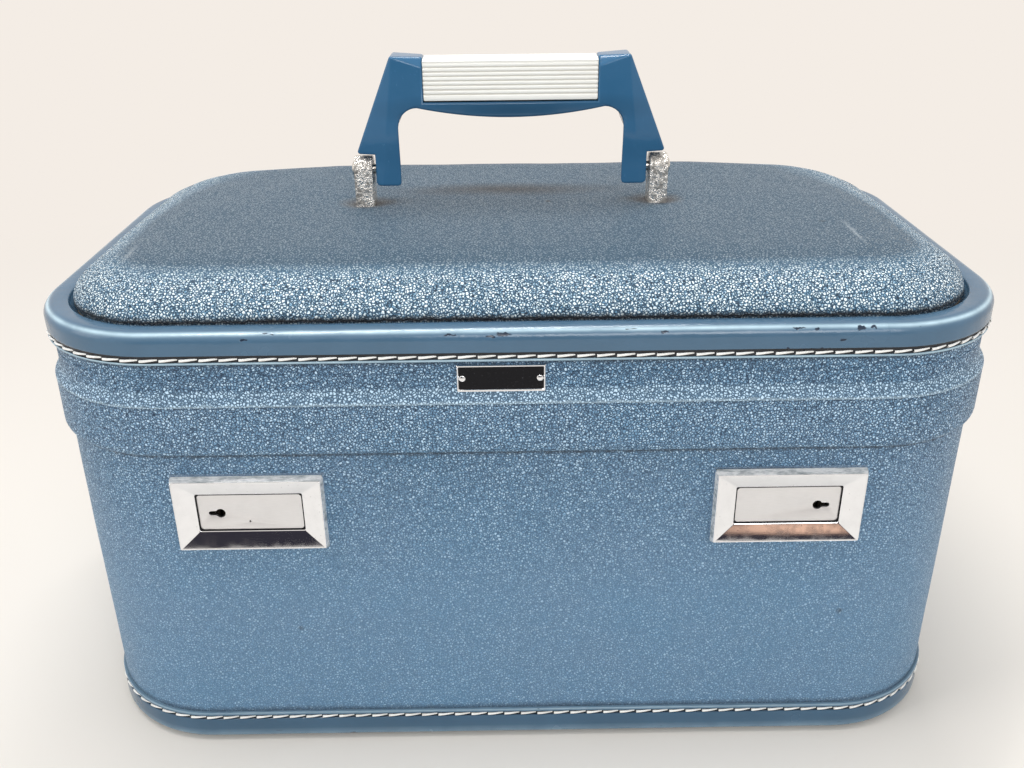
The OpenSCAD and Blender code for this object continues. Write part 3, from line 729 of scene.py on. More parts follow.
def moulded_plastic(name, colour, rough, shade, cloud=18.0, shine=0.5, marks=(), grooves=None):
    """Moulded plastic with slow colour drift, fine scuffs and a faint orange peel.

    marks are (centre, reach, colour, amount); grooves is the y face that dirty grooves are
    cut into, and the height that they end at.
    """
    look = Look(name, Specular_IOR_Level=shine)
    drift = look.scale(look.noise(cloud, 3, 0.55), 0.35, 0.7)
    tint = look.mix(drift, colour, shade)
    lightening = look.scale(look.noise(1.6, 4, 0.75, stretch=(1, 1, 0.4)), 0.62, 0.72)
    tint = look.mix(look.times(lightening, 0.18), tint, tuple(min(1, c * 1.7) for c in colour))
    for centre, reach, dark, amount in marks:
        tint = look.mix(look.times(look.spot(centre, reach), amount), tint, dark)
    if grooves:
        face, top = grooves
        out = look.math("ABSOLUTE", look.axis("Y"))
        deep = look.scale(out, face - 0.38, face - 0.2, 0.4, 0.0)
        low = look.scale(look.axis("Z"), top - 0.1, top, 1.0, 0.0)
        tint = look.mix(look.times(deep, low), tint, (0.26, 0.21, 0.14))
    gloss = look.math("ADD", look.scale(drift, 0, 1, rough, rough + 0.08), look.times(lightening, 0.15))
    peel = look.math("ADD", look.noise(2.4, 2), look.times(lightening, -0.3))
    return look.finish(tint, gloss, peel, 0.035, 0.6)


def woven_fabric(name, colour, shade, pitch=0.45, sheen=0.35, crease=0.25):
    """Light rayon lining: crossed threads, soft creases and a satin sheen."""
    look = Look(name, Roughness=0.62, Sheen_Weight=sheen, Sheen_Roughness=0.4)
    warp = look.node("ShaderNodeTexWave", bands_direction="DIAGONAL")
    look.feed(look.place, warp.inputs["Vector"])
    warp.inputs["Scale"].default_value = 0.31 / (pitch * MM)
    warp.inputs["Distortion"].default_value = 0.6
    threads = look.math("ADD", warp.outputs["Fac"], look.noise(pitch, 1))
    folds = look.noise(16, 3, 0.55)
    tint = look.mix(look.scale(folds, 0.35, 0.68), colour, shade)
    tint = look.mix(look.scale(warp.outputs["Fac"], 0.0, 1.0, 0.18, 0.0), tint, shade)
    weave = look.bump(threads, 0.06, 0.5)
    return look.set(Base_Color=tint, Normal=look.bump(folds, crease * 4, 0.35, weave))


def fibreboard(name, colour, shade):
    """Pressed board: short matted fibres."""
    look = Look(name)
    fibre = look.noise(0.9, 5, 0.7, stretch=(1, 1, 3))
    tint = look.mix(look.scale(fibre, 0.3, 0.7), shade, colour)
    return look.finish(tint, 0.85, fibre, 0.12, 0.6)


def foam(name, colour, shade):
    """Open-cell foam."""
    look = Look(name)
    pores = look.scale(look.cells(0.8), 0.1, 0.5)
    return look.finish(look.mix(pores, shade, colour), 0.9, pores, 0.3, 0.8)


def enamel(name, colour):
    """Baked enamel with dust specks and a hard gloss."""
    look = Look(name, Specular_IOR_Level=0.15)
    dust = look.scale(look.noise(0.5, 2, 0.6), 0.68, 0.75)
    cloud = look.scale(look.noise(6, 3), 0.4, 0.7)
    tint = look.mix(look.times(dust, 0.3), colour, (0.2, 0.21, 0.23))
    gloss = look.scale(cloud, 0, 1, 0.2, 0.38)
    return look.finish(tint, gloss, look.noise(1.8, 2), 0.03, 0.4)


def mirror_glass(name):
    """Silvered glass with a few foxed spots and fingerprints."""
    look = Look(name, Metallic=1.0)
    foxing = look.scale(look.noise(14, 5, 0.75), 0.68, 0.76)
    smear = look.scale(look.noise(22, 3, 0.6), 0.45, 0.7)
    tint = look.mix(foxing, (0.86, 0.89, 0.9), (0.35, 0.31, 0.27))
    return look.set(Base_Color=tint, Roughness=look.scale(smear, 0, 1, 0.015, 0.09))


PEBBLE = 1.0
# Colour of the painted shade in the gaps between pebbles
GAP_SHADE = (0.010, 0.032, 0.070)
# Colour of the painted glints on the pebble tips
GLINT_BLUE = (0.60, 0.80, 0.97)
DIRT_AND_SHADE = (0.028, 0.038, 0.052)
BROWN_DIRT = (0.085, 0.062, 0.045)
WHITE_SCUFF = (0.62, 0.68, 0.72)
VINYL_BLUE = (0.146, 0.302, 0.480)



def all_round(z, reach, colour, amount):
    """A mark right round the case at one height, fading over reach above and below."""
    return (0, 0, z), (900, 900, reach), colour, amount


# Small stains on the front of the body: (x, height, reach, amount)
FRONT_STAINS = (
    (-86, 55.8, 1.4, 0.6), (122, 60.6, 1.7, 0.7), (147, 92.5, 1.2, 0.6), (-150, 60, 1.4, 0.4)
)
body_marks = [((x, -HALF_D, z), (r, 6, r), DIRT_AND_SHADE, amount) for x, z, r, amount in FRONT_STAINS] + [
    # Painted shade: above the base binding, a painted shadow under the body's band, and along the
    # seam
    all_round(BASE_TOP, 2.6, DIRT_AND_SHADE, 0.6),
    all_round(BAND_LOW - 0.3, 1.3, DIRT_AND_SHADE, 0.75),
    all_round(SEAM - 0.2, 1.0, DIRT_AND_SHADE, 0.2),
]

# The lid's wall: painted shadow under the binding, a painted highlight just above the seam, a white
# scuff, and a painted highlight along its upward-facing flare
wall_marks = [
    all_round(BIND_LOW, 2.0, DIRT_AND_SHADE, 0.85),
    all_round(SEAM + 0.5, 0.7, (0.50, 0.64, 0.74), 0.45),
    ((-152, -HALF_D, 160), (1.5, 5, 1.5), WHITE_SCUFF, 0.8),
]
# Where the painted highlight along the lid's upward-facing flare lies
FLARE_HIGHLIGHT = ((0, 0, SEAM + 2.6), (1200, 1200, 3.4))

# Marks on the padded top: dirt round the posts and behind the handle, painted shade in the crevice
# where it tucks into the binding, two spots and two scuffs
lid_marks = [((x, 0, DOME_Z), (13, 11, 8), BROWN_DIRT, 0.9) for x in POST_XS] + [
    all_round(RIM_Z - 0.4, 2.0, (0.003, 0.006, 0.012), 1.0),
    ((-4, 17, DOME_Z), (56, 13, 14), DIRT_AND_SHADE, 1.0),
    ((118, -36, DOME_Z), (1.8, 1.8, 9), DIRT_AND_SHADE, 0.7),
    ((13, -3, DOME_Z), (1.9, 1.9, 9), DIRT_AND_SHADE, 1.0),
    ((126, -49, DOME_Z), (1.2, 17, 12), WHITE_SCUFF, 0.35),
    ((-142, -60, DOME_Z - 6), (1.5, 12, 14), WHITE_SCUFF, 0.35),
]

# Nicks along the lid binding's front ridge, by their distance along the case
ridge_cuts = [
    ((x, -HALF_D - BIND_OUT + 1.2, RIM_Z - z), (reach, 3, deep))
    for x, z, reach, deep in (
        (-6, 2.0, 2.6, 0.5), (-10.5, 2.6, 1.7, 0.5), (-24, 2.2, 2.4, 0.35), (-93, 2.8, 1.5, 0.35),
        (48, 2.0, 1.5, 0.4), (93, 1.4, 2.2, 0.4), (99, 1.6, 1.0, 0.5), (114, 1.5, 1.7, 0.7),
        (118, 1.3, 1.0, 0.5), (89.5, 8.6, 0.9, 0.5), (94, 8.9, 1.7, 0.4), (97.5, 8.8, 1.3, 0.4),
        (101, 8.4, 0.7, 0.4), (103.5, 8.5, 0.9, 0.4), (108, 5.4, 1.4, 0.35),
    )
]

looks = {
    # Vinyl looks: the two colours after the blue are painted shade for the pebble gaps and painted
    # glints for the tips; calm weakens both lower down the body
    "vinyl": grained_vinyl("grained_vinyl", VINYL_BLUE, GAP_SHADE, GLINT_BLUE, body_marks, calm=(70, 150)),
    "lid_vinyl": grained_vinyl(
        "grained_vinyl_lid", VINYL_BLUE, GAP_SHADE, GLINT_BLUE, wall_marks, highlight_at=FLARE_HIGHLIGHT
    ),
    "dome": grained_vinyl(
        # Dome: the two colours after its blue are painted gap shade and painted glints
        "grained_vinyl_top", (0.13, 0.32, 0.50), (0.001, 0.008, 0.024), (0.92, 1.0, 1.0),
        # top: painted sheen on the dome's flat; the last pair sets which tips get painted glints
        lid_marks, top=((0.040, 0.100, 0.162), DOME_Z - 4.2, DOME_Z - 1.2), glint_thresholds=(0.35, 0.46),
    ),
    # binding: its last colour is the painted highlight of the ridge and lip
    "binding": smooth_binding(
        "smooth_binding", (0.060, 0.126, 0.200), (0.008, 0.022, 0.048), (0.50, 0.67, 0.76),
        ridge_cuts,
    ),
    # A darker copy of the binding for the base binding: painted shade where it sits low by the
    # floor
    "shaded_low_binding": smooth_binding(
        "smooth_binding_low_shaded", (0.039, 0.096, 0.162), (0.008, 0.022, 0.048), (0.40, 0.56, 0.66)
    ),
    "thread": thread("cream_thread", (0.98, 0.975, 0.95), (0.50, 0.48, 0.43)),
    "chrome": polished_metal("latch_chrome", (0.85, 0.865, 0.895), 0.06),
    "worn_chrome": brushed_metal(
        "worn_chrome", (0.98, 0.97, 0.95), 0.3, (0.05, 1, 1), 0.45, streak=(0.17, 0.21, 0.23)
    ),
    "satin": brushed_metal("latch_satin", (0.775, 0.775, 0.79), 0.34, (0.1, 1, 1)),
    "nickel": pitted_nickel("post_nickel", (0.86, 0.84, 0.80), (0.045, 0.04, 0.035)),
    "hinge": polished_metal("hinge_nickel", (0.66, 0.64, 0.60), 0.18, 0.6),
    "steel": brushed_metal("galvanised_steel", (0.52, 0.53, 0.55), 0.38, (1, 1, 0.3)),
    "brass": brushed_metal("lock_brass", (0.012, 0.010, 0.008), 0.6, (1, 0.3, 1)),
    "aluminium": brushed_metal("frame_aluminium", (0.72, 0.73, 0.74), 0.3, (0.15, 0.15, 1)),
    "glide": polished_metal("glide_nickel", (0.6, 0.59, 0.57), 0.25, 0.8),
    "handle": moulded_plastic(
        "handle_plastic", (0.033, 0.128, 0.250), 0.14, (0.040, 0.140, 0.268), shine=0.35,
        # Painted shade on the bar under the grip
        marks=[((0, 0, GRIP[0].z - 3.5), (62, 60, 8), (0.020, 0.060, 0.110), 0.85)],
    ),
    "grip": moulded_plastic(
        "grip_plastic", (0.93, 0.92, 0.87), 0.3, (0.90, 0.88, 0.82),
        grooves=(GRIP[1].y, GRIP[1].z - 2),
    ),
    "badge": enamel("badge_black", (0.006, 0.006, 0.008)),
    "lining": woven_fabric("lining_fabric", (0.40, 0.55, 0.66), (0.31, 0.46, 0.59)),
    "elastic": woven_fabric("elastic", (0.62, 0.68, 0.72), (0.50, 0.58, 0.65), 0.9, 0.2),
    "board": fibreboard("fibreboard", (0.36, 0.26, 0.17), (0.22, 0.15, 0.09)),
    "foam": foam("foam_padding", (0.62, 0.56, 0.38), (0.35, 0.30, 0.18)),
    "tray": moulded_plastic("tray_plastic", (0.72, 0.76, 0.78), 0.35, (0.66, 0.71, 0.74)),
    "rail": moulded_plastic("rail_plastic", (0.58, 0.62, 0.65), 0.4, (0.52, 0.56, 0.6)),
    "mirror": mirror_glass("mirror_silver"),
    "mirror_rim": polished_metal("mirror_rim", (0.74, 0.73, 0.70), 0.14, 0.4),
}

# Finish of each CAD node that stays as it is
NODE_LOOKS = {
    "board": ["base_board", "body_shell", "lid_shell"],
    "lid_vinyl": ["lid_wall_cover"],
    "glide": ["base_glides"],
    "aluminium": ["body_frame", "lid_frame"],
    "lining": ["body_lining", "lid_lining"],
    "rail": ["tray_rail_front", "tray_rail_rear"],
    "steel": [
        "latch_case_left", "latch_case_right", "hasp_left", "hasp_right", "stay_arm_left",
        "stay_arm_right", "stay_studs", "stay_pivots", "post_washers",
    ],
    "brass": ["lock_barrel_left", "lock_barrel_right"],
    "hinge": [
        "body_hinge_left", "body_hinge_right", "lid_hinge_left", "lid_hinge_right",
        "hinge_pin_left", "hinge_pin_right", "body_hinge_rivets", "lid_hinge_rivets",
    ],
    "tray": ["tray"],
    "mirror": ["mirror_glass"],
    "mirror_rim": ["mirror_frame"],
}
for look_name, nodes in NODE_LOOKS.items():
    for node in nodes:
        for material_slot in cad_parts[node].material_slots:
            material_slot.material = looks[look_name]

# ------------------------------------------------------------ body


def swell(point, out, z):
    """Slight unevenness of a glued covering; the hidden inner face stays true."""
    if out < 0:
        return 0.0
    return 0.22 * wave(point, 55) + 0.10 * wave(point, 19, 3.0)


def clear_of_hinges(point, out, z):
    """Room for the hinge barrels at the parting line, and packing behind the leaves."""
    across = abs(abs(point.x) - HINGE_X) - HINGE_HALF - 2
    if point.y < HALF_D or across > 3:
        return swell(point, out, z) * min(1, out)
    if across < 0 and abs(z - SEAM) < 2.3:
        return min(0.0, BAND_OUT - 1.5 - out)
    if z > SEAM + 0.7 and 0.05 < out < BAND_OUT:
        return (BAND_OUT - 0.02 - out) * clamp(1 - across / 3)
    return 0.0


def latch_holes(piece):
    """Openings in the front wall for the two latch necks."""
    for side in (-1, 1):
        middle = middle_x(BEZELS[side])
        start, end = sorted((middle + side * 21, middle - side * 10.5))
        low, high = (start, -HALF_D - 3, LATCH_Z - 4.4), (end, -HALF_D + 3, LATCH_Z + 4.4)
        cut(piece, brick(low, high, 0))


COVER_T = 0.8
COVER_LOW = WALL[0].z
profile = run((0, COVER_LOW), (0, SEAM_LOW), 7) + [(-COVER_T, SEAM_LOW), (-COVER_T, COVER_LOW)]
body_cover = make("body_vinyl", sweep(profile, swell), "vinyl", "case", ["body_cover"])
latch_holes(body_cover)

lip = 0.2
body_band = (
    [(0, BAND_LOW - 0.1)]
    + arc(0, BAND_LOW + 2.6, BAND_OUT, 2.6, -80, 0, 8)
    + run((BAND_OUT, BAND_LOW + 5), (BAND_OUT - 0.1, SEAM_LOW - lip), 3)
    + arc(BAND_OUT - 0.1 - lip, SEAM_LOW - lip, lip, lip, 22, 90, 2)
    + [(0, SEAM_LOW)]
)
make("body_band_vinyl", sweep(body_band, clear_of_hinges), "vinyl", "case", ["body_rim_band"])

FLARE_TOP = SEAM + 4.0
lid_band = (
    [(0, SEAM_HIGH)]
    + arc(BAND_OUT - lip, SEAM_HIGH + lip, lip, lip, -90, 0, 3)
    + [(BAND_OUT - 0.02, SEAM + 0.75), (BAND_OUT - 0.35, SEAM + 1.35)]
    + [(BAND_OUT - 1.05, SEAM + 2.2), (BAND_OUT - 1.75, SEAM + 3.1), (BAND_OUT - 2.2, FLARE_TOP)]
    + [(0.28, FLARE_TOP + 0.9)]
    + run((0.2, FLARE_TOP + 2), (0.2, PAD_TOP), 1.6)
    + [(0, PAD_TOP + 0.1)]
)
make("lid_band_vinyl", sweep(lid_band, clear_of_hinges), "lid_vinyl", "lid", ["lid_rim_band"])

# ------------------------------------------------------------ bindings and stitching


def mark(piece, name, amount):
    """Writes a mesh attribute: amount(distance out from the wall, height) gives 0 to 1."""
    layer = piece.data.attributes.new(name, "FLOAT", "POINT")
    for vertex, item in zip(piece.data.vertices, layer.data):
        x, y, z = vertex.co / MM
        corner_x = max(0, abs(x) - (HALF_W - CORNER_R))
        corner_y = max(0, abs(y) - (HALF_D - CORNER_R))
        item.value = amount(hypot(corner_x, corner_y) - CORNER_R, z)


def strip_waves(point, out, z):
    """The strips are hand-turned, so their faces aren't quite even."""
    if out < 0.2:
        return 0.0
    return 0.12 * wave(point, 30, 5.0) + 0.06 * wave(point, 9, 9.0)


STITCH_UP = 2.0
GROOVE = 0.45
THREAD_DROP = 0.25
g = BIND_LOW + STITCH_UP
RIDGE_R = 4.2
lid_strip = (
    [(0, BIND_LOW + 0.1), (BIND_OUT * 0.7, BIND_LOW)]
    + arc(BIND_OUT - 0.4, BIND_LOW + 0.4, 0.42, 0.4, -75, 0, 4)
    + arc(BIND_OUT - 0.2, g - 1.3, 0.25, 0.2, 0, 90, 3)
    + [(BIND_OUT - GROOVE, g - 1.0), (BIND_OUT - GROOVE, g - 0.2), (BIND_OUT - GROOVE, g + 1.25)]
    + [(BIND_OUT - 0.2, g + 1.35), (BIND_OUT - 0.05, g + 1.5), (BIND_OUT - 0.01, g + 1.8)]
    + run((BIND_OUT, g + 2.2), (BIND_OUT, RIM_Z - RIDGE_R), 1.5)
    + arc(BIND_OUT - RIDGE_R, RIM_Z - RIDGE_R, RIDGE_R, RIDGE_R - 0.1, 8, 88, 14)
    + [(-4.4, RIM_Z - 0.2), (-6.0, RIM_Z - 0.4)]
    + arc(-6.2, RIM_Z - 1.3, 0.9, 0.9, 80, 180, 4)
    + [(-7.3, RIM_Z - 2.0), (-9.2, BOARD_TOP), (0, BOARD_TOP)]
)
lid_binding = make(
    "lid_binding_strip", sweep(lid_strip, strip_waves), "binding", "lid", ["lid_binding"]
)
RIDGE_TURN = RIDGE_R * sin(radians(52))


# Painted highlight along the ridge and along the lip below the stitching; nicks gather along it too
def lid_highlight_and_wear(out, z):
    ridge = hump(out - BIND_OUT + RIDGE_R, RIDGE_R * cos(radians(52)), 0.75)
    ridge *= hump(z, RIM_Z - RIDGE_R + RIDGE_TURN, 0.9)
    lip_line = hump(z, BIND_LOW + 0.62, 0.35) * (out > BIND_OUT - 0.5)
    return max(ridge, 0.95 * lip_line)


def in_groove(middle, face):
    """Amount of painted shade in a stitching groove at one height in a face."""
    return lambda out, z: float(abs(z - middle) < 1.3 and 0 < out < face - 0.25)


mark(lid_binding, "wear", lid_highlight_and_wear)
# Painted shade in the lid binding's stitching groove
mark(lid_binding, "groove_shade", in_groove(g, BIND_OUT))

BASE_STITCH_DOWN = 2.4
h = BASE_TOP - BASE_STITCH_DOWN
BASE_GROOVE = 0.6
base_strip = (
    [(0, BASE_TOP - 0.1), (BASE_OUT * 0.6, BASE_TOP)]
    + arc(BASE_OUT - 0.4, BASE_TOP - 0.45, 0.45, 0.45, 80, 0, 4)
    + [(BASE_OUT, h + 1.0), (BASE_OUT - BASE_GROOVE, h + 0.75), (BASE_OUT - BASE_GROOVE, h - 0.7)]
    + [(BASE_OUT - 0.05, h - 1.0), (BASE_OUT, h - 1.6)]
    + run((BASE_OUT + 0.02, h - 2.2), (BASE_OUT, FOOT_Z + 3), 1.6)
    + arc(BASE_OUT - 2.6, FOOT_Z + 2.6, 2.6, 2.6, -5, -90, 7)
    + [(-9, FOOT_Z), (-9, FOOT_Z + 0.8), (0, FOOT_Z + 0.8)]
)
base_binding = make(
    "base_binding_strip", sweep(base_strip, strip_waves), "shaded_low_binding", "case", ["base_binding"]
)


def base_wear(out, z):
    return max(0.35 * hump(z, FOOT_Z + 1.5, 2.0) * (out > -2.6), 0.5 * hump(z, BASE_TOP - 0.3, 0.4))


mark(base_binding, "wear", base_wear)
mark(base_binding, "groove_shade", in_groove(h, BASE_OUT + 0.1))


def round_the_case(distance, out):
    """Point and outward normal at a distance along the case's outline, moved out."""
    half_x, half_y = HALF_W - CORNER_R, HALF_D - CORNER_R
    bend = pi / 2 * (CORNER_R + out)
    corner = Vector((half_x, half_y, 0))
    angle = 0.0
    for side in (2 * half_x, 2 * half_y, 2 * half_x, 2 * half_y):
        if distance <= bend:
            turn = angle + distance / (CORNER_R + out)
            normal = Vector((cos(turn), sin(turn), 0))
            return corner + normal * (CORNER_R + out), normal
        distance -= bend
        angle += pi / 2
        normal = Vector((cos(angle), sin(angle), 0))
        ahead = Vector((-normal.y, normal.x, 0))
        if distance <= side:
            return corner + normal * (CORNER_R + out) + ahead * distance, normal
        distance -= side
        corner = corner + ahead * side
    return round_the_case(distance, out)


THREAD_R = 0.5
STITCH_PITCH = 6.7
STITCH_LENGTH = 4.6
STITCH_RISE = 0.35


def stitch(start, z, out, number):
    """One thread loop: it leaves its hole, lies along the groove and dives back in."""
    rows, steps, sides = [], 10, 8
    length = STITCH_LENGTH * (1 + 0.06 * wave((number, 0, z), 2.1))
    lift = 0.10 * wave((number, 7, z), 1.7)
    for i in range(steps + 1):
        t = i / steps
        ends = abs(2 * t - 1)
        radius = THREAD_R * (1 - 0.35 * ends**8) * (1.08 - 0.22 * t)
        sink = 0.5 * ends**8
        place, normal = round_the_case(start + t * length, out - sink)
        ahead = Vector((-normal.y, normal.x, 0))
        centre = place + Vector((0, 0, z + lift + STITCH_RISE * t * t))
        side = ahead.cross(normal)
        ring = [2 * pi * k / sides for k in range(sides)]
        rows.append([centre + (normal * cos(a) * 0.85 + side * sin(a)) * radius for a in ring])
    return capped(loops(rows), sides)


def stitch_row(z, out):
    """Stitches at an even pitch right round the case."""
    length = 4 * (HALF_W + HALF_D - 2 * CORNER_R) + 2 * pi * (CORNER_R + out)
    count = round(length / STITCH_PITCH)
    return joined(*[stitch((i + 0.1) * length / count, z, out, i) for i in range(count)])


make(
    "lid_thread", stitch_row(g - THREAD_DROP, BIND_OUT - GROOVE + 0.35),
    "thread", "lid", ["lid_stitching"], crease=60,
)
make(
    "base_thread", stitch_row(h - 0.1, BASE_OUT - BASE_GROOVE + 0.5),
    "thread", "case", ["base_stitching"], crease=60,
)

# ------------------------------------------------------------ padded top

CROWN = 0.9
PUCKER = 0.16
TAIL_DROP = 2.4
TOP_RINGS = 14


def dome_height(point, depth):
    """Unevenness of the padding at a point, depth mm in from the covering's edge."""
    rise = CROWN * (1 - (point.x / HALF_W) ** 2) * (1 - (point.y / HALF_D) ** 2)
    rise += 0.30 * wave(point, 38, 1.0) + 0.12 * wave(point, 15, 4.0)
    for x in POST_XS:
        near = hypot((point.x - x) / 1.2, point.y)
        rise -= 1.3 * exp(-((near / 8.0) ** 2))
    tail = clamp((abs(point.x) - 85) / 55) * clamp((point.y + 10) / 70)
    return (rise - TAIL_DROP * tail) * min(1, depth / 10)


def padded_top():
    """Rings from the tucked edge over the shoulder, then inwards to the middle line."""
    spring_in = DOME_IN + 0.6
    profile = [(-DOME_IN - 1.6, BOARD_TOP), (-DOME_IN - 1.3, SPRING_Z - 1.4)]
    profile += [(-DOME_IN - 0.8, SPRING_Z - 0.4)]
    profile += arc(
        -spring_in - DOME_SHOULDER, SPRING_Z, DOME_SHOULDER, DOME_Z - SPRING_Z, 0, 90, 18
    )
    rows = []
    for out, z in profile:
        row = []
        depth = -out - DOME_IN
        for point, normal in lap(out, z):
            point.z += dome_height(point, depth)
            tuck = hump(depth, 3, 4) * PUCKER
            row.append(point + normal * tuck * wave(point, 6.5, 8.0))
        rows.append(row)
    edge = [point.copy() for point in rows[-1]]
    middle = HALF_W - HALF_D
    for i in range(1, TOP_RINGS + 1):
        t = i / TOP_RINGS
        row = []
        for point in edge:
            target = Vector((max(-middle, min(middle, point.x * 0.8)), 0, 0))
            spot = point.lerp(target, t)
            spot.z = DOME_Z
            spot.z += dome_height(spot, 100)
            row.append(spot)
        rows.append(row)
    return loops(rows)


def close_underneath(shape, thickness):
    """Turns an open skin into a thin closed one by giving it an inner side."""
    holder = placed("skin", shape)
    thick = holder.modifiers.new("thick", "SOLIDIFY")
    thick.thickness = thickness * MM
    thick.offset = -1
    apply_modifiers(holder)
    mesh = holder.data
    bpy.data.objects.remove(holder)
    return taken_out(mesh)


COVER_TOP_T = 1.2
top_cover = make(
    "padded_top", close_underneath(padded_top(), COVER_TOP_T), "dome",
    "lid", ["lid_top_cover"], crease=70,
)


def foam_pad():
    """The foam under the top covering, a little smaller all round, closed below."""
    points, faces = padded_top()
    gap = COVER_TOP_T + 0.15
    scale = Vector((1 - gap / HALF_W, 1 - gap / HALF_D))
    shrunk = [(p.x * scale.x, p.y * scale.y, max(BOARD_TOP, p.z - gap)) for p in points]
    return moved((shrunk, faces + [tuple(reversed(range(len(PATH))))]), Vector)


make("foam_pad", foam_pad(), "foam", "lid", ["lid_padding"])

# ------------------------------------------------------------ pocket at the back, inside

POCKET = span("rear_pocket")
ELASTIC = span("pocket_elastic")
PLEAT = 11.0


def pocket_front(x, z):
    """Depth in Y of the gathered pocket: sewn down at its sides and foot, pleated above."""
    half = POCKET[1].x
    rise = clamp((z - POCKET[0].z) / (POCKET[1].z - POCKET[0].z))
    sides = min(1, (half - abs(x)) / 7) ** 0.5
    foot = min(1, (z - POCKET[0].z) / 9) ** 0.5
    pleat = sin(2 * pi * x / PLEAT + 1.4 * sin(x / 31) + 0.9 * wave((x, z / 3, 0), 24, 3.0))
    depth = 1.5 + 1.25 * pleat * (0.3 + 0.7 * rise) + 0.3 * wave((x, z, 9), 12, 6.0)
    return POCKET[1].y - 0.3 - sides * foot * max(0.1, depth)


def pleated_panel(low_z, high_z, rows, out=0.0):
    """Open sheet that follows the pocket's pleats between two heights."""
    half = POCKET[1].x
    columns = round(2 * half / 1.1)
    points = []
    for j in range(rows + 1):
        z = low_z + (high_z - low_z) * j / rows
        for i in range(columns + 1):
            x = -half + 2 * half * i / columns
            points.append(Vector((x, pocket_front(x, z) - out, z)))
    wide = columns + 1
    faces = [
        (j * wide + i, j * wide + i + 1, (j + 1) * wide + i + 1, (j + 1) * wide + i)
        for j in range(rows) for i in range(columns)
    ]
    return points, faces


panel_sheet = pleated_panel(POCKET[0].z, ELASTIC[0].z + 1, 24)
pocket = make(
    "gathered_pocket", close_underneath(panel_sheet, 0.5), "lining",
    "case", ["rear_pocket"], crease=70,
)
pocket_band = make(
    "pocket_band", close_underneath(pleated_panel(ELASTIC[0].z, ELASTIC[1].z, 5, 0.55), 0.9),
    "elastic", "case", ["pocket_elastic"], crease=70,
)

# ------------------------------------------------------------ handle

SHELF_OUT = HANDLE[1].x - HANDLE_X
LUG_OUT = SHELF_OUT - 7.6
LUG_W = 10.4
SHELF = 6.7
CROWN_OUT = 47.1
GRIP_HALF = GRIP[1].x - HANDLE_X
GRIP_LOW = GRIP[0].z - PIVOT_Z
BAR_TOP = GRIP_LOW - 0.4
BAR_LOW = 21.5
BAR_END = 25.4
INNER_R = 7.5
CREASE_LOW = (50.8, SHELF)
CREASE_HIGH = (46.0, HANDLE_TOP)
FACET_OUT = (CROWN_OUT - 0.5, HANDLE_TOP - 0.3)
FACET_IN = (GRIP_HALF, HANDLE_TOP - 4.4)
EASE = 0.9
LEG_DRAFT = 1.9


def handle_outline():
    """Front outline of the handle about its middle and its pivots' height."""
    inner = LUG_OUT - LUG_W
    end = inner - INNER_R
    bow = [(end * i / 9, BAR_LOW + (BAR_END - BAR_LOW) * (i / 9) ** 2) for i in range(9)]
    half = (
        [(x, z, 0) for x, z in bow]
        + [(x, z, 0) for x, z in arc(end, BAR_END - INNER_R, INNER_R, INNER_R, 90, 0, 8)]
        + [(inner, HANDLE_FOOT, 1.6), (LUG_OUT, HANDLE_FOOT, 1.6), (LUG_OUT, SHELF, 0)]
        + [(SHELF_OUT, SHELF, 1.0), (CROWN_OUT, HANDLE_TOP, 1.1)]
        + [(GRIP_HALF, HANDLE_TOP - 0.6, 1.0), (GRIP_HALF, BAR_TOP, 0)]
    )
    mirrored = [(-x, z, r) for x, z, r in reversed(half) if x > 0]
    return rounded(half + mirrored, 4)


def line_gap(point, low, high):
    """Signed distance of (x, z) from the line through two points, positive on its right."""
    ahead = (Vector(high) - Vector(low)).normalized()
    away = Vector(point) - Vector(low)
    return away.x * ahead.y - away.y * ahead.x


def soft_positive(value, blend=0.7):
    """0 for negative values and the value itself for positive ones, eased between."""
    if value <= -blend:
        return 0.0
    if value >= blend:
        return value
    return (value + blend) ** 2 / (4 * blend)


def handle_depth(x, z):
    """How much of the full half-depth the handle has at a place on its front."""
    rise = clamp((z - 1) / 14)
    lug = 5.7 / HANDLE_HALF
    share = lug + (1 - lug) * rise * rise * (3 - 2 * rise)
    beyond = soft_positive(line_gap((abs(x), z), CREASE_LOW, CREASE_HIGH))
    above = 0
    if abs(x) > GRIP_HALF - 1:
        above = soft_positive(-line_gap((abs(x), z), FACET_IN, FACET_OUT))
    return share - 0.28 * beyond / HANDLE_HALF - 0.85 * above / HANDLE_HALF


def split_along(bm, low, high, gap_shade_mask):
    """Cuts a mesh drawn in XY along lines beside the one through low and high, both sides."""
    for mirror in (1, -1):
        ahead = (Vector(high) - Vector(low)).normalized()
        for gap in gap_shade_mask:
            x = low[0] + ahead.y * gap
            y = low[1] - ahead.x * gap
            bmesh.ops.bisect_plane(
                bm, geom=bm.verts[:] + bm.edges[:] + bm.faces[:], dist=1e-5,
                plane_co=(mirror * x, y, 0), plane_no=(mirror * ahead.y, -ahead.x, 0),
            )


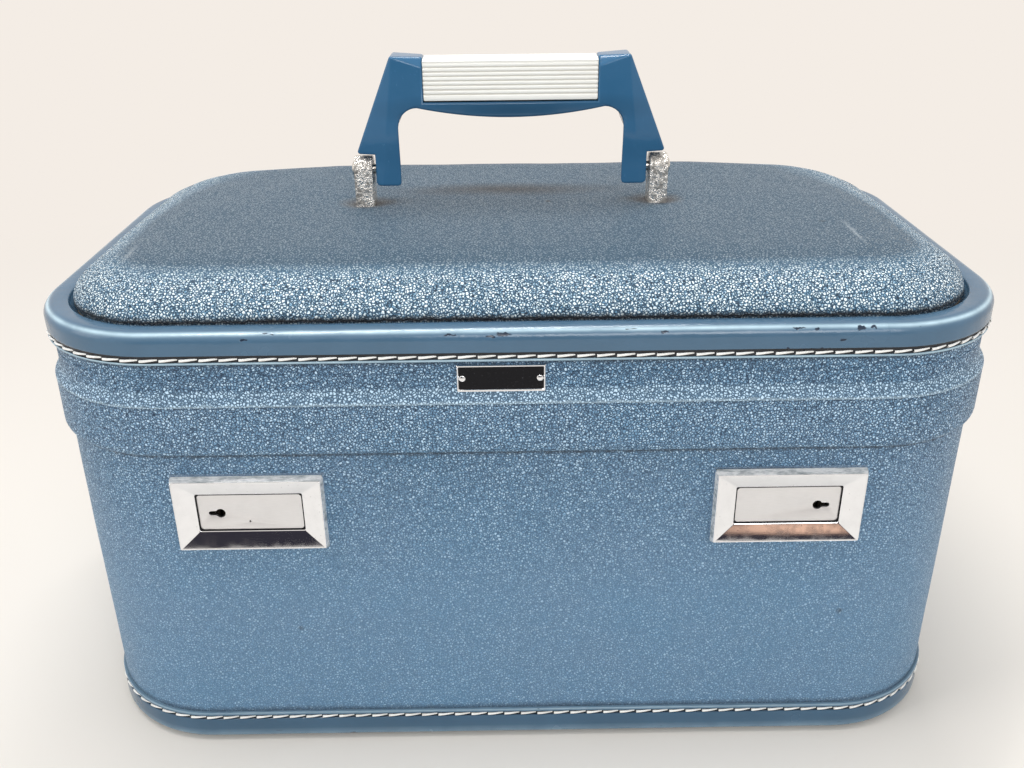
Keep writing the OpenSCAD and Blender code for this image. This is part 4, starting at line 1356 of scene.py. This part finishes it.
def shaped_handle():
    """The outline given depth, then thinned at its lugs, creased and faceted."""
    points, faces = slab(handle_outline(), 2 * HANDLE_HALF, EASE)
    bm = bmesh.new()
    corners = [bm.verts.new(p) for p in points]
    for face in faces:
        bm.faces.new([corners[i] for i in face])
    split_along(bm, CREASE_LOW, CREASE_HIGH, (-0.7, 0, 0.7))
    split_along(bm, FACET_IN, FACET_OUT, (-0.7, 0, 0.7))
    for z in (1, 4, 6.5, 9, 11.5, 15):
        split_along(bm, (0, z), (1, z), (0,))
    inner = LUG_OUT - LUG_W
    points, faces = drained(bm)
    for point in points:
        x, z, front = point
        if inner - 0.1 < abs(x) < inner + 2 and z < BAR_END - INNER_R + 1:
            x += (1 if x > 0 else -1) * LEG_DRAFT * (0.5 - front / (2 * HANDLE_HALF))
        point[:] = x, z, front * handle_depth(x, z)
    return points, faces


up_to_pivot = Matrix.Translation((HANDLE_X, 0, PIVOT_Z)) @ standing()
handle = make(
    "handle_frame_moulding", moved(shaped_handle(), up_to_pivot), "handle",
    "handle", ["handle_frame"], crease=50, weighted=True,
)
PIN_R = 2.0


def rod(radius, length):
    """Profile of a plain rod that starts at height 0."""
    return [(0, 0), (radius, 0), (radius, length), (0, length)]


def at_pivot(x, side):
    """Lays a shape drawn along Z on the handle's axis at x, pointing to a side."""
    return Matrix.Translation((x, 0, PIVOT_Z)) @ Matrix.Rotation(side * pi / 2, 4, "Y")


bore = lathe(rod(PIN_R + 0.05, 9), 24)
for side in (-1, 1):
    cut(handle, moved(bore, at_pivot(HANDLE_X + side * (LUG_OUT - LUG_W + 1.6), side)))
web = brick((-GRIP_HALF - 1, BAR_TOP - 1, -2), (GRIP_HALF + 1, HANDLE_TOP - 6, 2), 0)
make("handle_web", moved(web, up_to_pivot), "handle", "handle")

GROOVES = 8
GROOVE_PITCH = 1.72
GROOVE_R = 0.4
FIRST_GROOVE = 2.6
GRIP_CROWN = (3.6, 1.2)
WEB_SLOT = (2.1, HANDLE_TOP - 6 - GRIP_LOW + 0.2)


def grip_outline():
    """Cross-section of the ribbed grip: x is front to back, y is up."""
    half = GRIP[1].y
    height = GRIP[1].z - GRIP[0].z
    slot_half, slot_high = WEB_SLOT
    front = []
    for i in range(GROOVES):
        y = FIRST_GROOVE + i * GROOVE_PITCH
        front += [(half - 0.04, y - GROOVE_R - 0.22), (half - 0.1, y - GROOVE_R - 0.02)]
        cup = (20, 60, 90, 120, 160)
        front += [(half - GROOVE_R * sin(radians(a)), y - GROOVE_R * cos(radians(a))) for a in cup]
        front += [(half - 0.1, y + GROOVE_R + 0.02), (half - 0.04, y + GROOVE_R + 0.22)]
    base = [(slot_half, 0), (half - 0.9, 0), (half - 0.25, 0.25), (half, 0.9)]
    deep, high = GRIP_CROWN
    crown = arc(half - deep, height - high, deep, high, 0, 90, 8)
    right = base + front + crown
    left = [(-x, y) for x, y in reversed(right)]
    return right + left + [(-slot_half, slot_high), (slot_half, slot_high)]


def ribbed_grip():
    """The cross-section drawn along the handle, its ends slightly drawn in."""
    outline = grip_outline()
    height = GRIP[1].z - GRIP[0].z
    rows = []
    ends = [(GRIP_HALF - 0.1, 0.3), (GRIP_HALF - 0.3, 0.08), (GRIP_HALF - 0.6, 0.0), (12.0, 0.0)]
    for x, inset in [(-x, inset) for x, inset in ends] + ends[::-1]:
        thin = 1 - inset / GRIP[1].y
        short = 1 - 2 * inset / height
        rows.append([(HANDLE_X + x, y * thin, GRIP[0].z + inset + z * short) for y, z in outline])
    return capped(loops(rows), len(outline))


make("ribbed_grip", ribbed_grip(), "grip", "handle", ["handle_grip"], crease=32)

# ------------------------------------------------------------ handle posts and pins


def post_outline():
    """Side outline of a post: a strap with a round top."""
    half = POST_D / 2
    low = PIVOT_Z - 8
    top = arc(0, PIVOT_Z, half, half, 0, 180, 18)
    return [(-half, BOARD_TOP), (half, BOARD_TOP), (half, low)] + top + [(-half, low)]


PIN_LENGTH = POST_W + 9.5


def pin_head(radius, height):
    """Profile of a low domed head that starts at height 0."""
    return [(0, 0), (radius, 0), (radius, height * 0.35)] + arc(
        0, height * 0.35, radius, height * 0.65, 12, 80, 5
    ) + [(0, height)]


strap = sheet_metal([post_outline()], POST_W, 0.55, 2)
SHANK_LOW = POSTS[1][0].z
SHANK_HIGH = BOARD_TOP - SHANK_LOW + 0.1
shank = lathe(rod(2.5, SHANK_HIGH))
for side, name in SIDES:
    post_x = middle_x(POSTS[side])
    at_post = Matrix.Translation((post_x, 0, 0))
    post = joined(
        moved(strap, at_post @ along_x()),
        moved(shank, at_post @ Matrix.Translation((0, 0, SHANK_LOW))),
    )
    make(f"post_{name}", post, "nickel", "lid", [f"handle_post_{name}"], crease=45)
    outer = post_x + side * (POST_W / 2 - 0.2)
    pin = joined(
        moved(lathe(pin_head(3.2, 1.5)), at_pivot(outer, side)),
        moved(lathe(rod(PIN_R, PIN_LENGTH)), at_pivot(outer, -side)),
    )
    make(f"pivot_pin_{name}", pin, "hinge", "lid", [f"handle_pin_{name}"])

# ------------------------------------------------------------ latches
# Each latch is drawn at the left one's place about its own centre: x along the
# case, y up, z out of the wall. The right one is its mirror image.

WINDOW_W = 38.6
WINDOW_H = 15.5
WINDOW_UP = 0.4
PLATE_OUT = -HALF_D - span("latch_slide_left")[0].y
KEY_X = -10.9
PLATE_ENDS = (-20.3, 25.9)
PLATE_HALF = 8.8
PLATE_T = 1.2
BOLT = (-8.4, -7.2)
NOSE_UNDER_SEAM = 9.5


def at_latch(side):
    """Matrix from a latch's own drawing to its place; side is -1 for the left latch."""
    flip = Matrix.Scale(-side, 4, (1, 0, 0))
    return Matrix.Translation((middle_x(BEZELS[side]), -HALF_D, LATCH_Z)) @ flip @ standing()


def latch_frame():
    """Bezel: outer slope, narrow ridge, broad inner facets and a turned-in lip."""
    outside = (
        (-1.2, -1.2, 0.3, -0.4), (-0.3, -0.3, 0.5, -0.4), (-0.2, -0.2, 0.5, 0.1), (0, 0, 0.5, 0.3),
        (-0.1, -0.2, 0.5, 0.5), (-1.85, -3.0, 0.4, 4.0), (-2.1, -3.4, 0.4, BEZEL_OUT),
        (-2.6, -3.9, 0.4, BEZEL_OUT), (-2.8, -4.1, 0.4, BEZEL_OUT - 0.12),
    )
    window = (
        (0.8, 0.8, 0.72, WINDOW_UP), (0.3, 0.3, 0.6, WINDOW_UP), (0, 0, 0.45, WINDOW_UP),
        (0, 0, 0.12, WINDOW_UP), (0.5, 0.5, 0.1, WINDOW_UP), (8, 3.6, 0.25, 0),
    )
    return rings(
        [(BEZEL_W + w, BEZEL_H + h, radius, z, 0) for w, h, radius, z in outside]
        + [(WINDOW_W + w, WINDOW_H + h, 0.6, PLATE_OUT + z, up) for w, h, z, up in window]
        + [(WINDOW_W + 14, WINDOW_H + 11, 0.6, 0.6, 0)]
    )


SPRING_WIRE = 0.15
SPRING_TURNS = 6
WIRE_SIDES = 6


def coil_spring(low, high):
    """Coil of round wire along X that fills a box, with closed ends to its wire."""
    middle = (low + high) / 2
    radius = (high.y - low.y) / 2 - SPRING_WIRE
    length = high.x - low.x - 2 * SPRING_WIRE
    steps, rows = SPRING_TURNS * 20, []
    for i in range(steps + 1):
        t = i / steps
        a = 2 * pi * SPRING_TURNS * t
        out = Vector((0, cos(a), sin(a)))
        place = Vector((low.x + SPRING_WIRE + length * t, middle.y, middle.z)) + out * radius
        ring = [2 * pi * k / WIRE_SIDES for k in range(WIRE_SIDES)]
        along = Vector((1, 0, 0))
        rows.append([place + (out * cos(b) + along * sin(b)) * SPRING_WIRE for b in ring])
    points, faces = loops(rows)
    last = len(points)
    return points, faces + [tuple(range(WIRE_SIDES)), tuple(range(last - WIRE_SIDES, last))]


def outer_slope():
    """The bezel's worn outer faces, a film over the chrome from the wall to the ridge."""
    steps = ((0.05, 0.05, 0.25), (1.72, 2.85, 3.98), (2.3, 3.6, 3.6), (1.4, 1.6, 0.3))
    return rings([(BEZEL_W - w, BEZEL_H - h, 0.5, z, 0) for w, h, z in steps])


def window_shadow_ring():
    """Thin black ring between the bezel's lip and the finger plate: a painted shadow of the gap
    between them.
    """
    steps = ((0.1, 0.6, 0.04), (0.1, 0.6, 0.3), (-0.85, 1.2, 0.3), (-0.95, 1.3, 0.04))
    return rings(
        [(WINDOW_W + w, WINDOW_H + w, r, PLATE_OUT + z, WINDOW_UP) for w, r, z in steps], 4
    )


def keyhole(x):
    """Round keyhole with a slot pointing outwards."""
    radius, reach, half = 1.75, 4.3, 0.85
    first = asin_degrees(half / radius)
    ring = arc(x, 0, radius, radius, 180 + first, 540 - first, 18)
    return ring + arc(x - reach + half, 0, half, half, 90, 270, 6)


def asin_degrees(value):
    return atan2(value, (1 - value * value) ** 0.5) * 180 / pi


def latch_slide(side):
    """Finger plate, its neck and the bolt arm behind the wall."""
    holes = [keyhole(KEY_X)]
    if side < 0:
        holes.append(arc(-0.6, -3.6, 0.35, 0.35, 0, 330, 11))
    back, front = PLATE_ENDS
    corners = [(back, -PLATE_HALF), (front, -PLATE_HALF), (front, PLATE_HALF), (back, PLATE_HALF)]
    plate = sheet_metal([rounded([(x, y, 1) for x, y in corners])] + holes, PLATE_T, 0.12, 1)
    nose = SEAM - NOSE_UNDER_SEAM - LATCH_Z
    low, high = BOLT
    neck = brick((0, -3.9, -7.4), (9.5, 3.9, PLATE_OUT - 1.1), 0.2)
    bars = [
        (-17, -7, 9.5, -3.7), (-17, 3.7, 9.5, 7), (-17, -3.8, -14.7, 3.8), (-7.1, -3.8, 9.5, 3.8),
        (-17, 6.9, -8, nose + 2), (-8.1, nose - 2, -6.3, nose + 2),
    ]
    return joined(
        moved(plate, Matrix.Translation((0, 0, PLATE_OUT - PLATE_T / 2))), neck,
        *[brick((x, y, low), (far_x, far_y, high), 0.2) for x, y, far_x, far_y in bars],
    )


for side, name in SIDES:
    place = at_latch(side)
    bezel = moved(latch_frame(), place)
    make(f"bezel_{name}", bezel, "chrome", "case", [f"latch_bezel_{name}"], crease=20)
    low, high = span(f"latch_spring_{name}")
    spring = make(
        f"coil_spring_{name}", coil_spring(low, high), "steel", "case", [f"latch_spring_{name}"]
    )
    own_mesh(spring)
    make(f"bezel_slope_{name}", moved(outer_slope(), place), "worn_chrome", "case", crease=20)
    # Black ring in each latch window: painted shadow of the gap round the finger plate
    make(f"window_shadow_ring_{name}", moved(window_shadow_ring(), place), "badge", "case")
    make(
        f"finger_plate_{name}", moved(latch_slide(side), place), "satin",
        f"slide_{name}", [f"latch_slide_{name}"], crease=30,
    )

# ------------------------------------------------------------ badge, left blank

BADGE_W = BADGE[1].x - BADGE[0].x
BADGE_H = BADGE[1].z - BADGE[0].z
BADGE_Z = (BADGE[0].z + BADGE[1].z) / 2
BADGE_Y = BADGE[1].y
on_badge = Matrix.Translation((middle_x(BADGE), 0, BADGE_Z)) @ standing(BADGE_Y)

rim_steps = ((0, 0), (0, 0.8), (0.25, 1.15), (0.6, 1.15), (0.85, 0.75), (0.85, 0))
badge_rim = rings([(BADGE_W - 2 * w, BADGE_H - 2 * w, 0.35, z, 0) for w, z in rim_steps])
make("badge_rim", moved(badge_rim, on_badge), "chrome", "lid", ["badge_border"], crease=25)
plate = sheet_metal([panel(BADGE_W - 1.4, BADGE_H - 1.4, 0.3)], 1.9, 0.08, 1)
make(
    "badge_blank", moved(plate, on_badge @ Matrix.Translation((0, 0, -0.25))), "badge",
    "lid", ["badge_plate"], crease=30,
)
nail = lathe(pin_head(1.15, 0.6), 20)
pins = [
    moved(nail, on_badge @ Matrix.Translation((side * (BADGE_W / 2 - 2), 0, 0.68)))
    for side in (-1, 1)
]
make("badge_nails", joined(*pins), "chrome", "lid", ["badge_pins"])

# ------------------------------------------------------------ stage and light

BACKDROP = (0.905, 0.845, 0.785)
FLOOR_HALF_M = 0.95
floor_mesh = bpy.data.meshes.new("floor")
floor_mesh.from_pydata(
    [(sx * FLOOR_HALF_M, sy * FLOOR_HALF_M, 0) for sx, sy in ((-1, -1), (1, -1), (1, 1), (-1, 1))],
    [], [(0, 1, 2, 3)],
)
floor = linked("floor", floor_mesh)

pale = Look("pale_floor", Roughness=0.9)
pale.set(Base_Color=pale.mix(pale.noise(400, 2), (0.78, 0.735, 0.675), (0.81, 0.76, 0.70)))
away = pale.scale(pale.vector("LENGTH", pale.place), 0.22, 0.8)
glow = pale.node("ShaderNodeEmission")
pale.feed(BACKDROP, glow.inputs["Color"])
blend = pale.node("ShaderNodeMixShader")
pale.feed(pale.times(away, pale.seen_directly()), blend.inputs[0])
pale.feed(pale.shader.outputs[0], blend.inputs[1])
pale.feed(glow.outputs[0], blend.inputs[2])
pale.feed(blend.outputs[0], pale.tree.nodes["Material Output"].inputs["Surface"])
floor_mesh.materials.append(pale.material)


def softbox(name, place, target, size, watts):
    """Rectangular area lamp; place and size are in metres."""
    data = bpy.data.lights.new(name, "AREA")
    data.shape = "RECTANGLE"
    data.size, data.size_y = size
    data.energy = watts
    lamp = linked(name, data)
    lamp.location = place
    lamp.rotation_euler = (Vector(target) - Vector(place)).to_track_quat("-Z", "Y").to_euler()


softbox("overhead", (-0.1, 0.08, 1.3), (0, 0, 0.15), (1.2, 0.1), 9)
softbox("front", (0.35, -1.5, 1.0), (0, 0, 0.1), (0.9, 0.5), 9)
softbox("left", (-1.6, -0.5, 0.8), (0, 0, 0.1), (0.8, 0.8), 3)

AMBIENT = 0.72
# Directions, reaches and colours of the room's patches: a dark one, and a warm one in it
ROOM_PATCHES = [
    ((0, -1, 0.02), (0.75, 0.6, 0.55), (0.035, 0.032, 0.043)),
    ((0.26, -0.96, 0.03), (0.042, 0.3, 0.09), (0.90, 0.56, 0.40)),
]
world = bpy.data.worlds.new("studio")
world.use_nodes = True
bpy.context.scene.world = world

# Even light, and for mirrors a pale room that is darker in front of the case
sky = Nodes(world.node_tree, "Generated")
room = BACKDROP
for centre, reach, colour in ROOM_PATCHES:
    room = sky.mix(sky.spot(centre, reach, 0.6, unit=1), room, colour)
camera_ray = sky.node("ShaderNodeLightPath").outputs["Is Camera Ray"]
seen = sky.mix(camera_ray, room, BACKDROP)
lit = sky.mix(sky.seen_directly(), toned((0.97, 0.985, 1.0), AMBIENT), seen)
background = sky.tree.nodes["Background"]
sky.feed(lit, background.inputs["Color"])
background.inputs["Strength"].default_value = 1.0

bpy.context.scene.view_settings.view_transform = "Standard"
